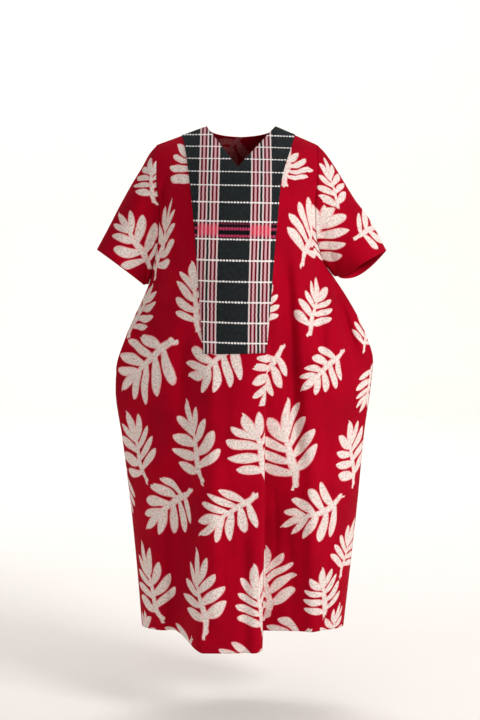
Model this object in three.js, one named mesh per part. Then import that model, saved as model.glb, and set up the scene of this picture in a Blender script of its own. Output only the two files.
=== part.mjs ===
import * as THREE from "three";

// A wide, loose dress with short dropped sleeves, a woven yoke panel and side pockets,
// in the form that it has when worn.
// Millimetres. +Z is up, -Y is the front and +X is the wearer's left.
// The origin is on the shoulder line, midway between the two points where it meets the neck.

// Driving dimensions
const clothWall = 2;
const panelWall = 1.4;
const bagWall = 1.5;
const seamGap = 0.3;
const dressLength = 1274;
const neckHalf = 85;
const neckDrop = 105;
const neckPointX = -8;
const backNeckDrop = 24;
const shoulderHalf = { right: 207, left: 188 };
const shoulderDrop = 44;
const underarmLevel = 388;
const underarmDrop = { right: 388, left: 366 };
const shoulderFadeLevel = 320;

// How the section changes down the dress. level is the height in the cut, 0 at the shoulder line.
// right and left are the half widths, frontEdge and backEdge the depth of the panels' side edges,
// front and back the depth of their middles, and step how far the stepping side stands ahead below the panel.
// bow and corner shape the front's section and backBow and backCorner the back's: from lens to box.
const levels = [
  { level: 0, right: 207, left: 188, frontEdge: 0, backEdge: 0, front: 0, back: 0, step: 0,
    bow: 2.4, corner: 0.9, backBow: 2.4, backCorner: 0.8 },
  { level: -14, right: 207, left: 188, frontEdge: -17, backEdge: 16, front: -24, back: 20, step: 0,
    bow: 2.4, corner: 0.9, backBow: 2.4, backCorner: 0.8 },
  { level: -45, right: 208, left: 188, frontEdge: -38, backEdge: 34, front: -62, back: 50, step: 0,
    bow: 2.4, corner: 0.85, backBow: 2.4, backCorner: 0.8 },
  { level: -105, right: 207, left: 187, frontEdge: -57, backEdge: 52, front: -123, back: 86, step: 0,
    bow: 2.3, corner: 0.8, backBow: 2.4, backCorner: 0.8 },
  { level: -185, right: 200, left: 182, frontEdge: -63, backEdge: 60, front: -168, back: 108, step: 0,
    bow: 2.3, corner: 0.75, backBow: 2.5, backCorner: 0.8 },
  { level: -270, right: 203, left: 184, frontEdge: -56, backEdge: 56, front: -183, back: 116, step: 0,
    bow: 2.3, corner: 0.75, backBow: 2.5, backCorner: 0.8 },
  { level: -345, right: 219, left: 202, frontEdge: -26, backEdge: 34, front: -187, back: 118, step: 0,
    bow: 2.2, corner: 0.8, backBow: 2.4, backCorner: 0.8 },
  { level: -388, right: 231, left: 229, frontEdge: 8, backEdge: 8, front: -188, back: 119, step: 0,
    bow: 2.1, corner: 0.85, backBow: 2.3, backCorner: 0.85 },
  { level: -435, right: 251, left: 261, frontEdge: 10, backEdge: 10, front: -189, back: 120, step: 0,
    bow: 2, corner: 0.9, backBow: 2.2, backCorner: 0.9 },
  { level: -525, right: 290, left: 309, frontEdge: 10, backEdge: 10, front: -189, back: 122, step: 0,
    bow: 1.8, corner: 1, backBow: 2, backCorner: 0.95 },
  { level: -605, right: 315, left: 333, frontEdge: 10, backEdge: 10, front: -187, back: 124, step: -2,
    bow: 1.8, corner: 1, backBow: 2, backCorner: 0.95 },
  { level: -660, right: 318, left: 329, frontEdge: 14, backEdge: 14, front: -183, back: 126, step: -6,
    bow: 1.9, corner: 1, backBow: 2, backCorner: 0.95 },
  { level: -780, right: 303, left: 314, frontEdge: 22, backEdge: 22, front: -168, back: 130, step: -20,
    bow: 2.3, corner: 0.95, backBow: 2.2, backCorner: 0.9 },
  { level: -960, right: 283, left: 299, frontEdge: 30, backEdge: 30, front: -139, back: 136, step: -46,
    bow: 3.2, corner: 0.8, backBow: 2.5, backCorner: 0.85 },
  { level: -1120, right: 269, left: 283, frontEdge: 36, backEdge: 36, front: -108, back: 142, step: -73,
    bow: 4.2, corner: 0.7, backBow: 2.8, backCorner: 0.8 },
  { level: -1274, right: 258, left: 267, frontEdge: 42, backEdge: 42, front: -74, back: 146, step: -104,
    bow: 5, corner: 0.6, backBow: 3, backCorner: 0.75 },
];

// The woven panel lies on the front. Its sides taper in from the shoulders to the straight foot.
const panelRows = [
  { level: 0, right: 146, left: 133 },
  { level: -22, right: 139, left: 127 },
  { level: -145, right: 121, left: 95 },
  { level: -250, right: 111, left: 85 },
  { level: -553, right: 91, left: 59 },
];

// The deep fold: the side that steps ahead ends at a line that goes on from the panel's left edge to the hem,
// and the cloth turns back along it
const foldHem = 53;
const foldTopWidth = 17;
const foldWidth = 3;
const foldSpread = { from: -470, to: -650 };
const foldRound = { across: 26, deep: 30 };
const hemShift = { stepping: -9, plain: 13 };
const stepRise = { from: -168, to: -92 };

// Soft folds, each a trough (depth over 0) or a ridge (under 0) that runs from one height to another.
// A fold that reaches the hem ends at a height below it.
const frontFolds = [
  { xFrom: -190, xTo: -204, from: -80, to: -375, width: 13, depth: 15 },
  { xFrom: 176, xTo: 190, from: -60, to: -330, width: 12, depth: 9 },
  { xFrom: -158, xTo: -150, from: -215, to: -370, width: 16, depth: 9 },
  { xFrom: -128, xTo: -118, from: -500, to: -960, width: 20, depth: 13 },
  { xFrom: -170, xTo: -176, from: -780, to: -1700, width: 18, depth: 12 },
  { xFrom: -62, xTo: -50, from: -560, to: -1260, width: 26, depth: -9 },
  { xFrom: 8, xTo: 10, from: -940, to: -1600, width: 14, depth: 7 },
  { xFrom: 128, xTo: 142, from: -470, to: -860, width: 17, depth: 12 },
  { xFrom: 176, xTo: 182, from: -760, to: -1700, width: 20, depth: -11 },
  { xFrom: 236, xTo: 306, from: -425, to: -600, width: 11, depth: 8 },
  { xFrom: -228, xTo: -284, from: -425, to: -600, width: 11, depth: 6 },
];
const backFolds = [
  { xFrom: -176, xTo: -192, from: -95, to: -360, width: 14, depth: 9 },
  { xFrom: 160, xTo: 174, from: -90, to: -340, width: 14, depth: 8 },
  { xFrom: -190, xTo: -226, from: -690, to: -1900, width: 21, depth: 22 },
  { xFrom: -112, xTo: -152, from: -420, to: -1900, width: 34, depth: 34 },
  { xFrom: -30, xTo: -50, from: -230, to: -1900, width: 25, depth: 24 },
  { xFrom: 44, xTo: 42, from: -560, to: -1900, width: 21, depth: 30 },
  { xFrom: 112, xTo: 140, from: -350, to: -1900, width: 36, depth: 36 },
  { xFrom: 196, xTo: 232, from: -640, to: -1900, width: 22, depth: 22 },
];
const foldEnd = 90;

// How sharply a change is held back near an edge or a ridge: the higher, the sharper
const edgeHold = { folds: 12, hem: 8 };
const ridgeHold = 1.4;
const mouthRoundness = 0.8;
const cuffRoundness = 0.85;
const armholeSpread = 1.25;

// The pocket mouths, where the side seams stay open
const pocketMouth = { from: -437, to: -611, spreadFront: 26, spreadBack: 30 };
const bagEnd = { x: 203, y: -8, z: -692, reach: 58, thick: 19, lean: 0.42, bulge: 8 };
const bagGap = { mouth: 0.4, inside: 3 };

// The top of each sleeve runs from the shoulder seam to the tip of the cuff: out from the middle, and down
const sleeves = {
  right: {
    top: [{ out: 207, z: -44 }, { out: 227, z: -67 }, { out: 245, z: -99 }, { out: 273, z: -144 },
      { out: 303, z: -197 }, { out: 325, z: -239 }, { out: 360, z: -303 }],
    cuffTip: { out: 360, y: 4, z: -303 },
    cuffFoot: { out: 243, y: 9, z: -392 },
    bulgeFront: 56,
    bulgeBack: 60,
    frontDrop: -10,
    backDrop: 5,
  },
  left: {
    top: [{ out: 188, z: -44 }, { out: 208, z: -64 }, { out: 233, z: -99 }, { out: 258, z: -139 },
      { out: 284, z: -180 }, { out: 321, z: -229 }, { out: 363, z: -305 }],
    cuffTip: { out: 363, y: 4, z: -305 },
    cuffFoot: { out: 250, y: 9, z: -374 },
    bulgeFront: 56,
    bulgeBack: 60,
    frontDrop: -8,
    backDrop: 27,
  },
};

// How finely the cloth is divided. Columns follow the neck's points down to spreadFrom, and then turn even.
const spreadFrom = -150;
const rightColumns = 11;
const foldColumns = 4;
const leftColumns = 13;
const roundColumns = 5;
const backColumns = 24;
const armholeRows = 9;
const mouthRows = 6;
const panelMouthRows = 4;
const skirtRows = 13;
const sleeveRings = 8;
const bagRings = 5;

const colours = {
  printedCloth: new THREE.Color(0.42, 0.012, 0.03),
  wovenCloth: new THREE.Color(0.045, 0.045, 0.05),
  pocketCloth: new THREE.Color(0.25, 0.01, 0.02),
};

const clamp = THREE.MathUtils.clamp;
const lerp = THREE.MathUtils.lerp;

// 0 at from, 1 at to, with a soft start and end
function ease(value, from, to) {
  const t = clamp((value - from) / (to - from), 0, 1);
  return t * t * (3 - 2 * t);
}

// Reads one column of a table at a height, along a smooth curve that never passes its rows' values
function read(table, column, level) {
  const last = table.length - 1;
  const slope = (k) => (table[k + 1][column] - table[k][column]) / (table[k + 1].level - table[k].level);
  let k = 0;
  while (k < last - 1 && level < table[k + 1].level) k += 1;
  const tangent = (m) => {
    if (m === 0) return slope(0);
    if (m === last) return slope(last - 1);
    const before = slope(m - 1);
    const after = slope(m);
    return before * after <= 0 ? 0 : (2 * before * after) / (before + after);
  };
  const span = table[k + 1].level - table[k].level;
  const t = clamp((level - table[k].level) / span, 0, 1);
  const start = table[k][column];
  const end = table[k + 1][column];
  const pull = span * ((t ** 3 - 2 * t ** 2 + t) * tangent(k) + (t ** 3 - t ** 2) * tangent(k + 1));
  return start + (end - start) * (3 * t ** 2 - 2 * t ** 3) + pull;
}

const halfWidth = (x, level) => read(levels, x < 0 ? "right" : "left", level);

// The drop of the shoulder line at a distance from the middle
function shoulderLine(x) {
  const half = x < 0 ? shoulderHalf.right : shoulderHalf.left;
  return -shoulderDrop * clamp((Math.abs(x) - neckHalf) / (half - neckHalf), 0, 1);
}

// The real height of a level: the two underarms hang at different heights, and the shoulders slope
function heightOf(x, level) {
  const share = clamp(x / (2 * halfWidth(x, level)) + 0.5, 0, 1);
  const underarm = lerp(underarmDrop.right, underarmDrop.left, share);
  const upper = (level * underarm) / underarmLevel;
  const lowerShare = (-underarmLevel - level) / (dressLength - underarmLevel);
  const lower = -underarm - lowerShare * (dressLength - underarm);
  const straight = level > -underarmLevel ? upper : lower;
  return straight + shoulderLine(x) * (1 - ease(level, 0, -shoulderFadeLevel));
}

function foldsAt(folds, x, level) {
  let depth = 0;
  for (const fold of folds) {
    if (level > fold.from || level < fold.to) continue;
    const run = (level - fold.from) / (fold.to - fold.from);
    const middle = lerp(fold.xFrom, fold.xTo, run);
    const ends = ease(level, fold.from, fold.from - foldEnd) * ease(level, fold.to, fold.to + foldEnd);
    depth += fold.depth * ends * Math.exp(-(((x - middle) / fold.width) ** 2));
  }
  return depth;
}

// How far the two edges of a side seam stand apart at a pocket mouth, from 0 to 1
function mouthOpen(level) {
  const run = clamp((level - pocketMouth.from) / (pocketMouth.to - pocketMouth.from), 0, 1);
  return Math.sin(Math.PI * run) ** mouthRoundness;
}

function foldLineAt(level) {
  const foot = panelRows[panelRows.length - 1];
  if (level > foot.level) return read(panelRows, "left", level);
  return lerp(foot.left, foldHem, (foot.level - level) / (foot.level + dressLength));
}

const foldWidthAt = (level) => lerp(foldTopWidth, foldWidth, ease(level, foldSpread.from, foldSpread.to));

// Below the underarm the two side edges meet in one seam
const edgeDepth = (column, level) => read(levels, level < -underarmLevel ? "frontEdge" : column, level);

// How far the deep fold has opened at a height, from 0 to 1 at the hem
const foldGrowth = (level) => clamp(read(levels, "step", level) / levels[levels.length - 1].step, 0, 1);

// The depth of the front. stepShare is 1 on the side that steps ahead and 0 past the deep fold.
function frontDepth(x, level, stepShare) {
  const across = clamp(Math.abs(x) / halfWidth(x, level), 0, 1);
  const bow = (1 - across ** read(levels, "bow", level)) ** read(levels, "corner", level);
  const step = read(levels, "step", level);
  const edge = edgeDepth("frontEdge", level) - pocketMouth.spreadFront * mouthOpen(level);
  const middle = read(levels, "front", level) + step * stepShare * ease(x, stepRise.from, stepRise.to);
  const turn = clamp((x - foldLineAt(level) + foldRound.across) / foldRound.across, 0, 1);
  const rounding = stepShare * foldGrowth(level) * foldRound.deep * (1 - Math.sqrt(1 - turn ** 2));
  const soft = foldsAt(frontFolds, x, level) * (1 - across ** edgeHold.folds);
  return edge + (middle - edge) * bow + rounding + soft * Math.min(1, -level / foldEnd);
}

function backDepth(x, level) {
  const across = clamp(Math.abs(x) / halfWidth(x, level), 0, 1);
  const bow = (1 - across ** read(levels, "backBow", level)) ** read(levels, "backCorner", level);
  const edge = edgeDepth("backEdge", level) + pocketMouth.spreadBack * mouthOpen(level);
  const middle = read(levels, "back", level);
  const soft = foldsAt(backFolds, x, level) * (1 - across ** edgeHold.folds);
  return edge + (middle - edge) * bow - soft * Math.min(1, -level / foldEnd);
}

// The stepping side's hem hangs a little lower, and the rest a little higher
function frontHeight(x, level, stepShare) {
  const across = clamp(Math.abs(x) / halfWidth(x, level), 0, 1);
  const shift = lerp(hemShift.plain, hemShift.stepping, stepShare * ease(x, stepRise.from, stepRise.to));
  return heightOf(x, level) + shift * foldGrowth(level) * (1 - across ** edgeHold.hem);
}

const frontPoint = (x, level, stepShare) =>
  new THREE.Vector3(x, frontDepth(x, level, stepShare), frontHeight(x, level, stepShare));
const backPoint = (x, level) => new THREE.Vector3(x, backDepth(x, level), heightOf(x, level));

// The level of the front's top edge: the shoulder line, or the V of the neck
function frontTop(x) {
  const side = x < neckPointX ? neckPointX + neckHalf : neckHalf - neckPointX;
  return -neckDrop * Math.max(0, 1 - Math.abs(x - neckPointX) / side);
}

const backTop = (x) => -backNeckDrop * Math.sqrt(Math.max(0, 1 - (x / neckHalf) ** 2));

// The levels of a column's rows, from its top edge to the hem, by way of the underarm and the pocket mouth
function rowLevels(top) {
  const rows = [];
  for (let k = 0; k < armholeRows; k++) {
    rows.push(lerp(top, -underarmLevel, (k / armholeRows) ** armholeSpread));
  }
  rows.push(-underarmLevel);
  for (let k = 0; k <= mouthRows; k++) rows.push(lerp(pocketMouth.from, pocketMouth.to, k / mouthRows));
  for (let k = 1; k <= skirtRows; k++) rows.push(lerp(pocketMouth.to, -dressLength, k / skirtRows));
  return rows;
}

// The front's columns run from the right side seam across the panel to the deep fold, back along the fold,
// and on to the left seam. These stations across the panel lie on the shoulder line and on the neck's edge.
const neckStations = [
  { x: -146, columns: 4 },
  { x: -neckHalf, columns: 5 },
  { x: -3, columns: 6 },
  { x: neckHalf, columns: 3 },
  { x: 133, columns: 0 },
];
const panelColumns = neckStations.reduce((sum, station) => sum + station.columns, 0);
const steppingColumns = rightColumns + panelColumns;
const frontColumns = steppingColumns + foldColumns + leftColumns;

// How far across the panel a column lies at the neck, from 0 at its right edge to 1 at its left
function neckShare(column) {
  const first = neckStations[0].x;
  const whole = neckStations[neckStations.length - 1].x - first;
  let passed = 0;
  for (let k = 0; k < neckStations.length - 1; k++) {
    const { x, columns } = neckStations[k];
    if (column <= passed + columns) {
      return (lerp(x, neckStations[k + 1].x, (column - passed) / columns) - first) / whole;
    }
    passed += columns;
  }
  return 1;
}

// Across the panel's width below the neck: even columns, and closer ones where the cloth turns into the fold
function foldedStation(column, right, line) {
  const plain = panelColumns - roundColumns;
  if (column < plain) return lerp(right, line - foldRound.across, column / plain);
  const turned = Math.sin(((column - plain) / roundColumns) * (Math.PI / 2));
  return line - foldRound.across * (1 - turned);
}

function frontStation(k, level) {
  const panelRight = -read(panelRows, "right", level);
  const line = foldLineAt(level);
  const width = foldWidthAt(level);
  if (k <= rightColumns) return lerp(-read(levels, "right", level), panelRight, k / rightColumns);
  if (k <= steppingColumns) {
    const upper = lerp(panelRight, line, neckShare(k - rightColumns));
    const lower = foldedStation(k - rightColumns, panelRight, line);
    return lerp(upper, lower, ease(level, spreadFrom, foldSpread.to));
  }
  const past = k - steppingColumns;
  if (past <= foldColumns) return line + (width * past) / foldColumns;
  return lerp(line + width, read(levels, "left", level), (past - foldColumns) / leftColumns);
}

// The top of a column of the front, found on the neck's edge by closing in on it
function frontColumnTop(k) {
  let level = 0;
  for (let pass = 0; pass < 20; pass++) level = frontTop(frontStation(k, level));
  return level;
}

function backStation(k, level) {
  const third = backColumns / 3;
  let top = lerp(-shoulderHalf.right, -neckHalf, k / third);
  if (k > third) top = lerp(-neckHalf, neckHalf, (k - third) / third);
  if (k > 2 * third) top = lerp(neckHalf, shoulderHalf.left, (k - 2 * third) / third);
  const topShare = (top + shoulderHalf.right) / (shoulderHalf.left + shoulderHalf.right);
  const share = lerp(topShare, k / backColumns, ease(level, spreadFrom, foldSpread.to));
  return lerp(-read(levels, "right", level), read(levels, "left", level), share);
}

// A sheet of cloth: its outer points in columns and rows, and a wall's thickness
const sheets = [];

function addSheet(name, points, wall, colour, options = {}) {
  const sheet = { name, points, wall, colour, ...options };
  sheet.normals = points.map((column, i) => column.map((point, j) => sheetNormal(sheet, i, j)));
  sheets.push(sheet);
  return sheet;
}

function sheetNormal(sheet, i, j) {
  const { points, ring } = sheet;
  const columns = points.length;
  const before = ring ? (i + columns - 1) % columns : Math.max(i - 1, 0);
  const after = ring ? (i + 1) % columns : Math.min(i + 1, columns - 1);
  const above = Math.max(j - 1, 0);
  const below = Math.min(j + 1, points[i].length - 1);
  const across = new THREE.Vector3().subVectors(points[after][j], points[before][j]);
  const down = new THREE.Vector3().subVectors(points[i][below], points[i][above]);
  return down.cross(across).normalize().multiplyScalar(sheet.flip ? -1 : 1);
}

function makeFront() {
  const points = [];
  for (let k = 0; k <= frontColumns; k++) {
    const stepShare = 1 - clamp((k - steppingColumns) / foldColumns, 0, 1);
    const rows = rowLevels(frontColumnTop(k));
    points.push(rows.map((level) => frontRowPoint(k, level, stepShare)));
  }
  return addSheet("front", points, clothWall, "printedCloth");
}

// Along the fold the depth is shared out between its two sides, so the turned-back cloth is one smooth face
function frontRowPoint(k, level, stepShare) {
  const x = frontStation(k, level);
  if (stepShare === 0 || stepShare === 1) return frontPoint(x, level, stepShare);
  const ahead = frontPoint(frontStation(steppingColumns, level), level, 1);
  const behind = frontPoint(frontStation(steppingColumns + foldColumns, level), level, 0);
  const flank = new THREE.Vector3().lerpVectors(behind, ahead, stepShare);
  const plain = frontPoint(x, level, 0);
  return plain.lerp(flank, ease(level, foldSpread.from, foldSpread.to));
}

function makeBack() {
  const points = [];
  for (let k = 0; k <= backColumns; k++) {
    const rows = rowLevels(backTop(backStation(k, 0)));
    points.push(rows.map((level) => backPoint(backStation(k, level), level)));
  }
  return addSheet("back", points, clothWall, "printedCloth", { flip: true });
}

// A point along the top of a sleeve, from 0 at the shoulder seam to 1 at the tip
function sleeveTop(side, sign, share) {
  const route = sleeves[side].top.map((row) => new THREE.Vector3(sign * row.out, 0, row.z));
  return new THREE.CatmullRomCurve3(route).getPointAt(share);
}

// A sleeve is a tube from the armhole to the cuff, pressed flat along its top towards the tip
function makeSleeve(side, sign, front, back) {
  const { cuffTip, cuffFoot, bulgeFront, bulgeBack, frontDrop, backDrop } = sleeves[side];
  const edge = (sheet) => (sign < 0 ? sheet.points[0] : sheet.points[sheet.points.length - 1]);
  const around = 2 * armholeRows;
  const tip = new THREE.Vector3(sign * cuffTip.out, cuffTip.y, cuffTip.z);
  const foot = new THREE.Vector3(sign * cuffFoot.out, cuffFoot.y, cuffFoot.z);
  const points = [];
  for (let j = 0; j < around; j++) {
    const ahead = j <= armholeRows;
    const down = (ahead ? j : around - j) / armholeRows;
    const start = edge(ahead ? front : back)[ahead ? j : around - j];
    const swell = Math.sin(Math.PI * down) ** cuffRoundness;
    const end = tip.clone().lerp(foot, down);
    end.y += ahead ? -bulgeFront * swell : bulgeBack * swell;
    end.z -= (ahead ? frontDrop : backDrop) * swell;
    const column = [];
    for (let ring = 0; ring <= sleeveRings; ring++) {
      const share = ring / sleeveRings;
      const straightTop = edge(front)[0].clone().lerp(tip, share);
      const bend = sleeveTop(side, sign, share).sub(straightTop).setY(0);
      column.push(start.clone().lerp(end, share).addScaledVector(bend, (1 - down) ** ridgeHold));
    }
    points.push(column);
  }
  return addSheet("sleeve_" + side, points, clothWall, "printedCloth", { ring: true, flip: sign > 0 });
}

// The panel's points are the front's points there, moved out past the seam gap and its own wall
function makePanel(front) {
  const lastRow = armholeRows + 1 + panelMouthRows;
  const covered = (grid) =>
    grid.slice(rightColumns, steppingColumns + 1).map((column) => column.slice(0, lastRow + 1));
  const normals = covered(front.normals);
  const points = covered(front.points).map((column, i) =>
    column.map((point, j) => point.clone().addScaledVector(normals[i][j], seamGap + panelWall)),
  );
  const panel = addSheet("woven_panel", points, panelWall, "wovenCloth");
  panel.normals = normals;
}

const onShoulderLine = (point, j) => j === 0 && point.y === 0 && Math.abs(point.x) > neckHalf - 1;

// Edge points that sheets share get one common normal, and each sheet draws back by half the seam gap.
// Along the shoulder line the normals have no depth, so front and back end in two upright faces.
function settleSeams() {
  const shared = new Map();
  const keyOf = (point) => point.toArray().map((value) => Math.round(value * 20)).join(" ");
  for (const sheet of sheets) {
    sheet.points.forEach((column, i) =>
      column.forEach((point, j) => {
        const key = keyOf(point);
        if (!shared.has(key)) shared.set(key, []);
        shared.get(key).push({ sheet, i, j });
      }),
    );
  }
  const moves = [];
  for (const places of shared.values()) {
    const { sheet: one, i: column, j: row } = places[0];
    const shoulder = onShoulderLine(one.points[column][row], row);
    if (new Set(places.map((place) => place.sheet)).size < 2 && !shoulder) continue;
    const common = new THREE.Vector3();
    for (const { sheet, i, j } of places) common.add(sheet.normals[i][j]);
    if (shoulder) common.setY(0);
    common.normalize();
    for (const place of places) moves.push({ ...place, common, away: awayFromEdge(place) });
  }
  for (const { sheet, i, j, common, away } of moves) {
    sheet.normals[i][j].copy(common);
    sheet.points[i][j].addScaledVector(away, seamGap / 2);
  }
}

// The direction from an edge point into its own sheet
function awayFromEdge({ sheet, i, j }) {
  const { points, ring } = sheet;
  const away = new THREE.Vector3();
  const lastColumn = points.length - 1;
  const lastRow = points[i].length - 1;
  const towards = (a, b) => away.add(new THREE.Vector3().subVectors(points[a][b], points[i][j]).normalize());
  if (!ring && i === 0) towards(1, j);
  if (!ring && i === lastColumn) towards(lastColumn - 1, j);
  if (j === 0) towards(i, 1);
  if (j === lastRow) towards(i, lastRow - 1);
  return away;
}

const innerPoints = (sheet) =>
  sheet.points.map((column, i) =>
    column.map((point, j) => point.clone().addScaledVector(sheet.normals[i][j], -sheet.wall)),
  );

// A pocket bag starts just inside the mouth's two free edges and hangs inwards and down, closed at its end
function makeBag(side, sign, front, back) {
  const columnOf = (sheet, step) => (sign < 0 ? step : sheet.points.length - 1 - step);
  const first = armholeRows + 1;
  const last = first + mouthRows;
  const bodySide = (sheet, step, row, clear) => {
    const i = columnOf(sheet, step);
    return sheet.points[i][row].clone().addScaledVector(sheet.normals[i][row], -clothWall - clear);
  };
  const around = 2 * mouthRows;
  const end = new THREE.Vector3(sign * bagEnd.x, bagEnd.y, bagEnd.z);
  const reach = new THREE.Vector3(-sign, 0, bagEnd.lean).normalize().multiplyScalar(bagEnd.reach);
  const points = [];
  for (let j = 0; j < around; j++) {
    const row = j <= mouthRows ? first + j : last - (j - mouthRows);
    const atEnd = row === first || row === last;
    const layers = atEnd ? [front, back] : [j < mouthRows ? front : back];
    const ringPoint = (step, clear) => {
      const sum = new THREE.Vector3();
      for (const sheet of layers) sum.add(bodySide(sheet, step, row, clear));
      return sum.divideScalar(layers.length);
    };
    const turn = (j / around) * 2 * Math.PI;
    const foot = end.clone().addScaledVector(reach, Math.cos(turn));
    foot.y -= bagEnd.thick * Math.sin(turn);
    const start = ringPoint(1, bagGap.inside);
    const column = [ringPoint(0, bagGap.mouth), start];
    for (let ring = 1; ring <= bagRings; ring++) {
      column.push(start.clone().lerp(foot, ring / bagRings));
    }
    points.push(column);
  }
  const options = { ring: true, flip: sign < 0, closedEnd: true };
  return addSheet("pocket_bag_" + side, points, bagWall, "pocketCloth", options);
}

// Turns a sheet into a closed wall: an outer face, an inner face and the rims between them
function wallGeometry(sheet) {
  const columns = sheet.points.length;
  const rows = sheet.points[0].length;
  const outer = sheet.points.flat();
  const inner = innerPoints(sheet).flat();
  const vertices = [...outer, ...inner];
  const faces = [];
  const at = (i, j, layer) => layer * outer.length + (i % columns) * rows + j;
  const quad = (a, b, c, d) => faces.push(a, b, c, a, c, d);
  const spans = sheet.ring ? columns : columns - 1;
  for (let i = 0; i < spans; i++) {
    for (let j = 0; j < rows - 1; j++) {
      quad(at(i, j, 0), at(i, j + 1, 0), at(i + 1, j + 1, 0), at(i + 1, j, 0));
      quad(at(i, j, 1), at(i + 1, j, 1), at(i + 1, j + 1, 1), at(i, j + 1, 1));
    }
    quad(at(i, 0, 0), at(i + 1, 0, 0), at(i + 1, 0, 1), at(i, 0, 1));
    if (!sheet.closedEnd) {
      quad(at(i, rows - 1, 0), at(i, rows - 1, 1), at(i + 1, rows - 1, 1), at(i + 1, rows - 1, 0));
    }
  }
  if (!sheet.ring) {
    for (let j = 0; j < rows - 1; j++) {
      quad(at(0, j, 0), at(0, j, 1), at(0, j + 1, 1), at(0, j + 1, 0));
      quad(at(spans, j, 0), at(spans, j + 1, 0), at(spans, j + 1, 1), at(spans, j, 1));
    }
  }
  if (sheet.closedEnd) closeEnd(sheet, vertices, faces, at, spans, rows - 1);
  if (sheet.flip) turnFaces(faces);
  const geometry = new THREE.BufferGeometry();
  const values = vertices.flatMap((point) => point.toArray());
  geometry.setAttribute("position", new THREE.Float32BufferAttribute(values, 3));
  geometry.setIndex(faces);
  return geometry;
}

function turnFaces(faces) {
  for (let f = 0; f < faces.length; f += 3) {
    [faces[f + 1], faces[f + 2]] = [faces[f + 2], faces[f + 1]];
  }
}

function closeEnd(sheet, vertices, faces, at, spans, row) {
  const centre = new THREE.Vector3();
  for (const column of sheet.points) centre.add(column[row]);
  centre.divideScalar(sheet.points.length);
  const down = new THREE.Vector3();
  for (const column of sheet.points) down.add(column[row]).sub(column[row - 1]);
  down.normalize();
  const outerTip = vertices.push(centre.clone().addScaledVector(down, bagEnd.bulge)) - 1;
  const innerTip = vertices.push(centre.clone().addScaledVector(down, bagEnd.bulge - sheet.wall)) - 1;
  for (let i = 0; i < spans; i++) {
    faces.push(at(i, row, 0), outerTip, at(i + 1, row, 0));
    faces.push(at(i, row, 1), at(i + 1, row, 1), innerTip);
  }
}

const front = makeFront();
const back = makeBack();
makeSleeve("right", -1, front, back);
makeSleeve("left", 1, front, back);
settleSeams();
makeBag("right", -1, front, back);
makeBag("left", 1, front, back);
makePanel(front);

const dress = new THREE.Group();
for (const sheet of sheets) {
  const material = new THREE.MeshStandardMaterial({
    color: colours[sheet.colour],
    roughness: 0.85,
    metalness: 0,
    side: THREE.DoubleSide,
  });
  const mesh = new THREE.Mesh(wallGeometry(sheet), material);
  mesh.name = sheet.name;
  dress.add(mesh);
}

export default dress;
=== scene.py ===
import math

import bpy
import numpy as np
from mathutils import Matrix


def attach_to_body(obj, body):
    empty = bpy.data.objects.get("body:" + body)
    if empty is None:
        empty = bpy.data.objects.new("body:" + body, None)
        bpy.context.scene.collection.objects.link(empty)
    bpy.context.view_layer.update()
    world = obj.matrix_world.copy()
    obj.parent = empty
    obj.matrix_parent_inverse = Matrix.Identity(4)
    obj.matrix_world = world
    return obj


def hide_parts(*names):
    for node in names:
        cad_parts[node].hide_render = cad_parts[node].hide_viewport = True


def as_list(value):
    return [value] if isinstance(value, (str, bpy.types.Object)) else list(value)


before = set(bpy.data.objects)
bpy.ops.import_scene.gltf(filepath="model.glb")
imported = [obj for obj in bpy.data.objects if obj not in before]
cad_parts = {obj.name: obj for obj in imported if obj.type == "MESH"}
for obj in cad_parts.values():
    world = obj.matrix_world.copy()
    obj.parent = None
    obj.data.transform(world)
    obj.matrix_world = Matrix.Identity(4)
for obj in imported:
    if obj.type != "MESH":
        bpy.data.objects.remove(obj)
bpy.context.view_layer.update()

# Lengths are in millimetres here, as on a pattern sheet, and become metres when a mesh is made.
mm = 0.001


def ease(value, start, end):
    t = np.clip((value - start) / (end - start), 0, 1)
    return t * t * (3 - 2 * t)


def mix(a, b, t):
    return a + (b - a) * t


# one column of a table, read along a smooth curve that never passes its rows' values
def readTable(table, column, level):
    places = np.array([row[0] for row in table], float)
    values = np.array([row[column] for row in table], float)
    slopes = np.diff(values) / np.diff(places)
    tangents = np.concatenate([slopes[:1], np.zeros(len(slopes) - 1), slopes[-1:]])
    for k in range(1, len(slopes)):
        before, after = slopes[k - 1], slopes[k]
        if before * after > 0:
            tangents[k] = 2 * before * after / (before + after)
    k = np.clip(np.searchsorted(-places, -level) - 1, 0, len(slopes) - 1)
    span = places[k + 1] - places[k]
    t = np.clip((level - places[k]) / span, 0, 1)
    pull = span * ((t**3 - 2 * t**2 + t) * tangents[k] + (t**3 - t**2) * tangents[k + 1])
    return values[k] + (values[k + 1] - values[k]) * (3 * t**2 - 2 * t**3) + pull


# lengths added up from 0, along a path or along one axis of a grid
def addedUp(lengths, axis=0):
    return np.insert(np.cumsum(lengths, axis), 0, 0, axis)


# how far each point of a path, or of a grid's first axis, lies along it
def runAlong(points):
    return addedUp(np.linalg.norm(np.diff(points, axis=0), axis=-1))


def unit(vector):
    return vector / np.linalg.norm(vector)


def addObject(name, data):
    thing = bpy.data.objects.new(name, data)
    bpy.context.scene.collection.objects.link(thing)
    return thing


def addMesh(name, mesh):
    mesh.polygons.foreach_set("use_smooth", [True] * len(mesh.polygons))
    return addObject(name, mesh)


# The camera stands where the photograph was taken from, at chest height and looking a little down
view = dict(place=(-0.0025, -3.6, -0.18), pitch=6.34, lens=72, filmHeight=36)


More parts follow.
